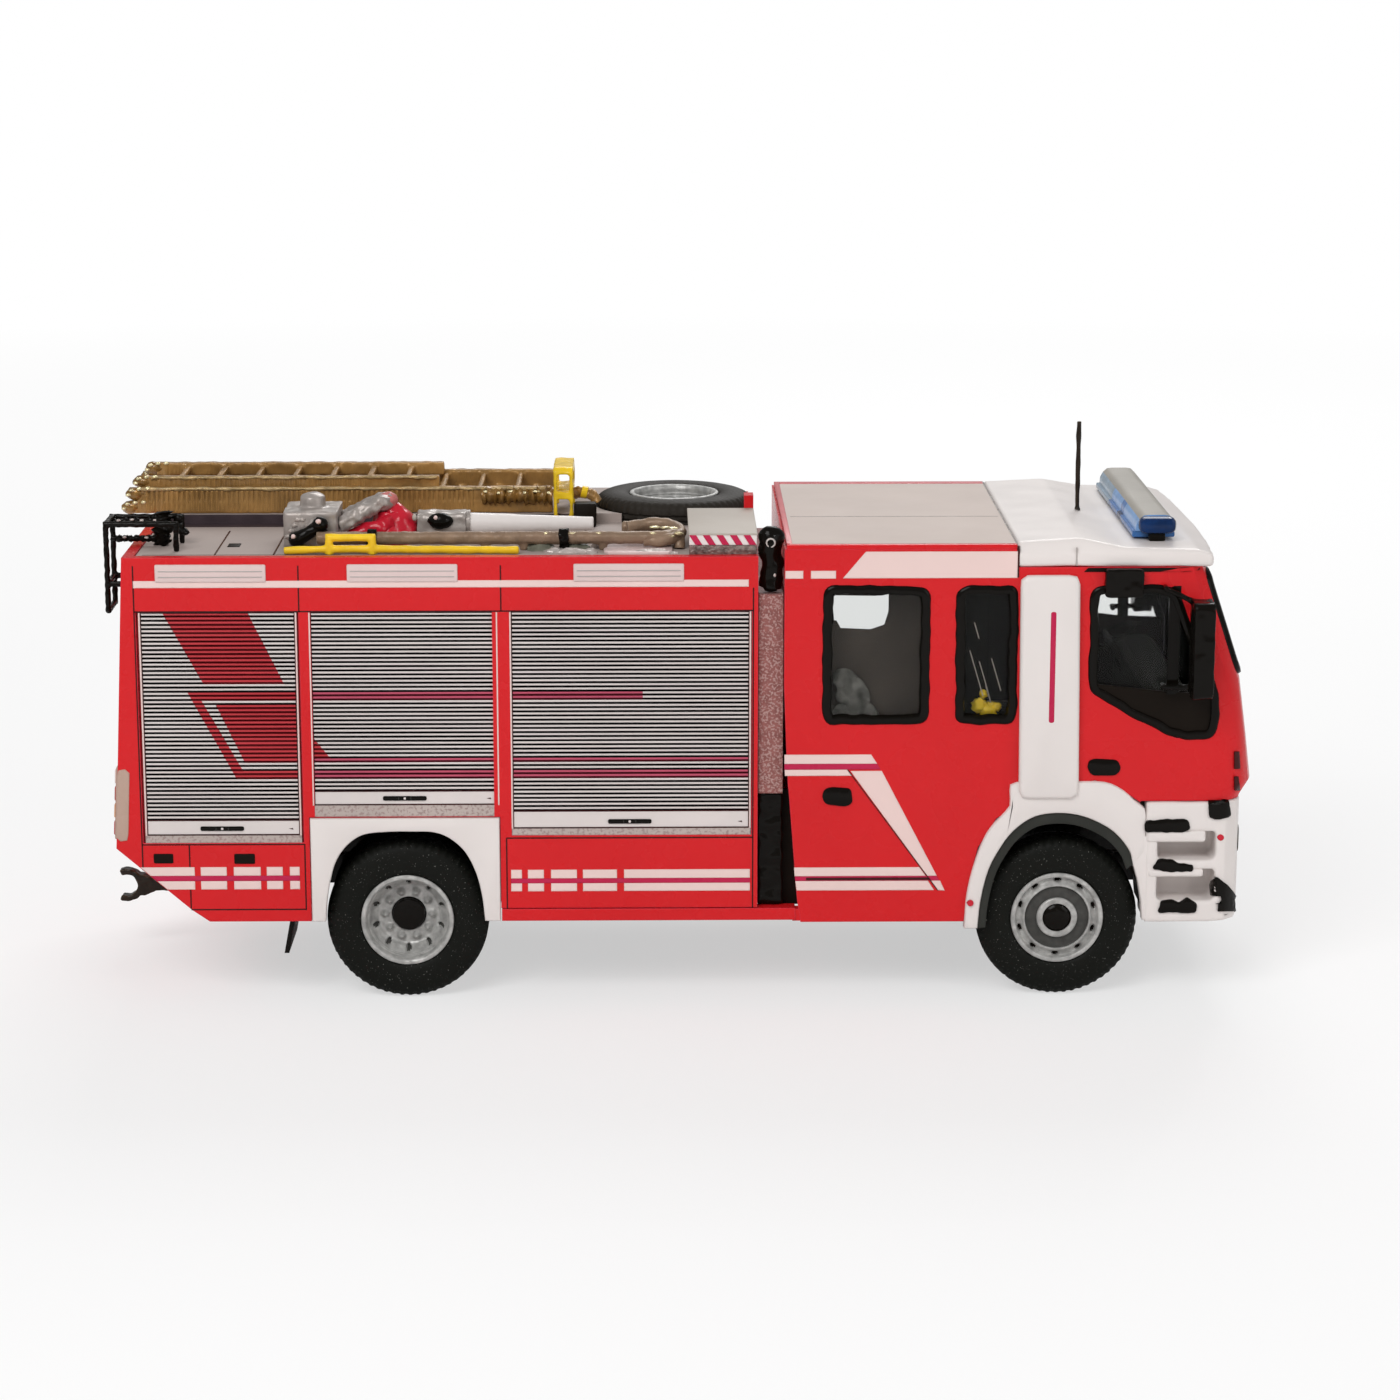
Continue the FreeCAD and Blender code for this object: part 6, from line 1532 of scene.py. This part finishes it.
def build_gap_fill():
    """Dark covers behind the side tanks, the red sill ends and the lumpy top of the air intake with painted
    glints on it.
    """
    fill = Pile()
    for side in SIDES:
        fill.slab("matt_black", (6.5, 9.6, 6.9, 15.7), 12.2, 12.6, on_side(side))
        fill.slab("red_paint", (8.9, 9.9, 6.1, 7.0), 13.4, 14.29, on_side(side))
    column = [(7.3, -12.95, 34.9), (7.2, -12.95, 33.7), (7.35, -12.95, 32.4), (7.2, -12.95, 31.0)]
    fill.cord("black_plastic", column, 0.84, 18, 0.25, 0.9)
    fill.drops("black_plastic", [(7.25, -12.95, 34.6, 0.95, 0.8, 0.9)], 0.2, 0.9)
    # Painted glints: a pale ring and a dot on the air intake's black paint
    glint = [(7.2 + x, -13.8, 34.4 + z) for x, z in circle(0.3, 16)]
    fill.add(tube(glint, 0.07, 6, closed=True), "foil")
    fill.drops("foil", [(7.5, -13.72, 32.0, 0.1, 0.06, 0.14)], 0.2, 0.2)
    fill.build("gap_fill", "black_plastic", smooth=60)


def build_cab_roof_marks():
    marks = Pile()
    for side in SIDES:
        marks.slab("line_dark", (25.02, 25.2, 31.9, 34.2), body_side - 0.4, body_side + 0.02, on_side(side))
        marks.slab("roof_line", (29.3, 29.38, 32.75, 34.1), body_side - 0.2, body_side + 0.03, on_side(side))
    marks.slab("roof_line", (24.98, 25.08, -13.7, 13.7), 34.05, 34.33, on_top)
    marks.build("roof_seams", "white_paint")


# Wheel arches and pillars, as (X, Z)

arch_rim = [(-26.55, 6.2), (-26.55, 14.05), (-12.65, 14.05), (-12.65, 6.2)]
arch_opening = [(-25.55, 6.2), (-25.4, 7.9), (-25.12, 9.44), (-24.68, 10.85), (-23.87, 12.0), (-22.7, 12.8),
                (-21.0, 13.02), (-19.1, 13.04), (-17.5, 12.98), (-16.3, 12.5), (-15.2, 11.46), (-14.43, 9.89),
                (-14.0, 8.09), (-13.8, 6.2)]
fender_outer = [(21.6, 5.5), (21.75, 8.06), (22.3, 10.55), (23.2, 12.85), (24.5, 14.4), (24.84, 14.9),
                (24.8, 16.1), (25.1, 16.6), (27.1, 16.68), (30.04, 16.68), (31.9, 16.6), (33.2, 15.97),
                (34.14, 15.1), (34.85, 14.4), (34.85, 11.4)]
fender_inner = [(34.1, 10.4), (33.57, 11.66), (32.35, 13.0), (30.48, 13.97), (28.62, 14.3), (26.7, 14.05),
                (25.2, 13.03), (24.2, 11.7), (23.34, 9.97), (22.8, 7.67), (22.6, 5.5)]
pillar = [(25.45, 15.45), (29.85, 15.45), (29.6, 32.1), (25.3, 32.1)]
liner_share = 0.9


def build_pillars():
    """White door pillars with soft edges, whose lower ends lie over the fenders."""
    pillars = Pile()
    for side in SIDES:
        pillars.pad("white_paint", even(round_corners(pillar, 0.6), 0.6), 14.1, 14.95, 0.26, on_side(side))
    pillars.build("pillar_panels_rounded", "white_paint", stands_for=("pillar_panels",), smooth=60)


def build_arches():
    """White arch panels and fenders with round openings, and the liners' dark rims inside the fenders."""
    panels, fenders, liners = Pile(), Pile(), Pile()
    opening = smooth_outline(arch_opening)
    outer, inner = smooth_outline(fender_outer), smooth_outline(fender_inner)
    low, high = node_box("front_tyre_left")
    hub = (low + high) / 2
    rim = [(hub.x + (u - hub.x) * liner_share, hub.z + (v - hub.z) * liner_share) for u, v in inner]
    panel_top = node_box("rear_arch_panels")[1].y + 0.12
    fender_top = node_box("front_fenders")[1].y - 0.1
    for side in SIDES:
        place = on_side(side)
        panels.pad("white_paint", arch_rim + opening[::-1], body_side - 0.5, panel_top, 0.14, place)
        fenders.add(band(outer, inner[::-1], body_side - 0.9, fender_top, 0.2, place), "white_paint")
        liners.add(band(inner, rim, body_side - 0.9, body_side + 0.1, 0.03, place), "liner_grey")
    panels.build("rear_arch_panels_rounded", "white_paint", stands_for=("rear_arch_panels",))
    fenders.build("front_fenders_rounded", "white_paint", stands_for=("front_fenders",))
    liners.build("fender_liner_rims", "black_plastic")


# Finishes of CAD nodes that differ from their slots

finish_of_node = {
    "gap_panel": "gap_pink", "crew_roof": "crew_beige", "wheel_liners": "matt_black",
    "cab_interior": "seat_grey", "tow_hook": "hook_brown", "antenna": "hook_brown",
    "ladder_clamps": "black_plastic", "hook_ladder": "hook_ladder_brown",
}


def dress_cad_nodes():
    for name, obj in frame["nodes"].items():
        obj.data.materials.clear()
        obj.data.materials.append(materials[finish_of_node.get(name, slots[name])])


# Nodes rebuilt as soft, hand-painted castings: voxel size, unevenness and its wave, smoothing passes
castings = {
    "cab_roof": (0.2, 0.06, 3.0, 4), "bumper": (0.15, 0.03, 1.6, 3), "main_ladder": (0.13, 0.05, 0.6, 1),
    "top_ladder": (0.13, 0.05, 0.6, 1), "hook_ladder": (0.11, 0.06, 0.6, 2),
    "ladder_bracket": (0.1, 0.06, 0.6, 2), "yellow_bar": (0.09, 0.05, 0.9, 2),
    "monitor_base": (0.12, 0.07, 0.7, 2), "monitor_pipes": (0.11, 0.16, 0.45, 2),
    "monitor_valve": (0.1, 0.1, 0.6, 3), "monitor_neck": (0.1, 0.08, 0.9, 3),
    "monitor_barrel": (0.12, 0.03, 1.2, 3), "access_rails": (0.08, 0.05, 0.4, 1),
    "ladder_clamps": (0.08, 0.08, 0.4, 2), "air_intake": (0.12, 0.12, 0.8, 3),
    "tow_hook": (0.09, 0.06, 0.4, 1), "mirrors": (0.11, 0.05, 0.7, 2), "antenna": (0.07, 0.05, 0.9, 1),
}


def build_castings():
    """Rounded, slightly uneven copies of CAD nodes, as cast metal under thick paint, which stand for them."""
    for node, (voxel, lump, wave, passes) in castings.items():
        mesh = frame["nodes"][node].data.copy()
        mesh.transform(Matrix.Scale(1 / MM, 4))
        work = add_object(node + "_work", mesh)
        remesh = work.modifiers.new("remesh", "REMESH")
        remesh.mode = "VOXEL"
        remesh.voxel_size = voxel
        work.modifiers.new("soften", "SMOOTH").iterations = passes
        shape = bpy.data.meshes.new_from_object(work.evaluated_get(bpy.context.evaluated_depsgraph_get()))
        bpy.data.objects.remove(work)
        pushes = [vertex.normal * lump * noise.noise(vertex.co / wave) for vertex in shape.vertices]
        for vertex, push in zip(shape.vertices, pushes):
            vertex.co += push
        shape.transform(Matrix.Scale(MM, 4))
        shape.materials.clear()
        shape.materials.append(materials[finish_of_node.get(node, slots[node])])
        finish_piece(node + "_painted", shape, slots[node], stands_for=(node,), smooth=60)


make_camera()
make_light()
make_floor()
dress_cad_nodes()
build_wheels()
build_spare()
build_shutters()
build_livery()
build_cab_skin()
build_cab_trim()
build_patches()
build_pillars()
build_arches()
build_window_views()
build_light_bar()
build_front()
build_tail()
build_scene_lamps()
build_roof_details()
build_locker()
build_monitor()
build_ladder_ends()
build_rail_knot()
build_gap_fill()
build_cab_roof_marks()
build_castings()

bpy.context.scene.view_settings.view_transform = "Standard"
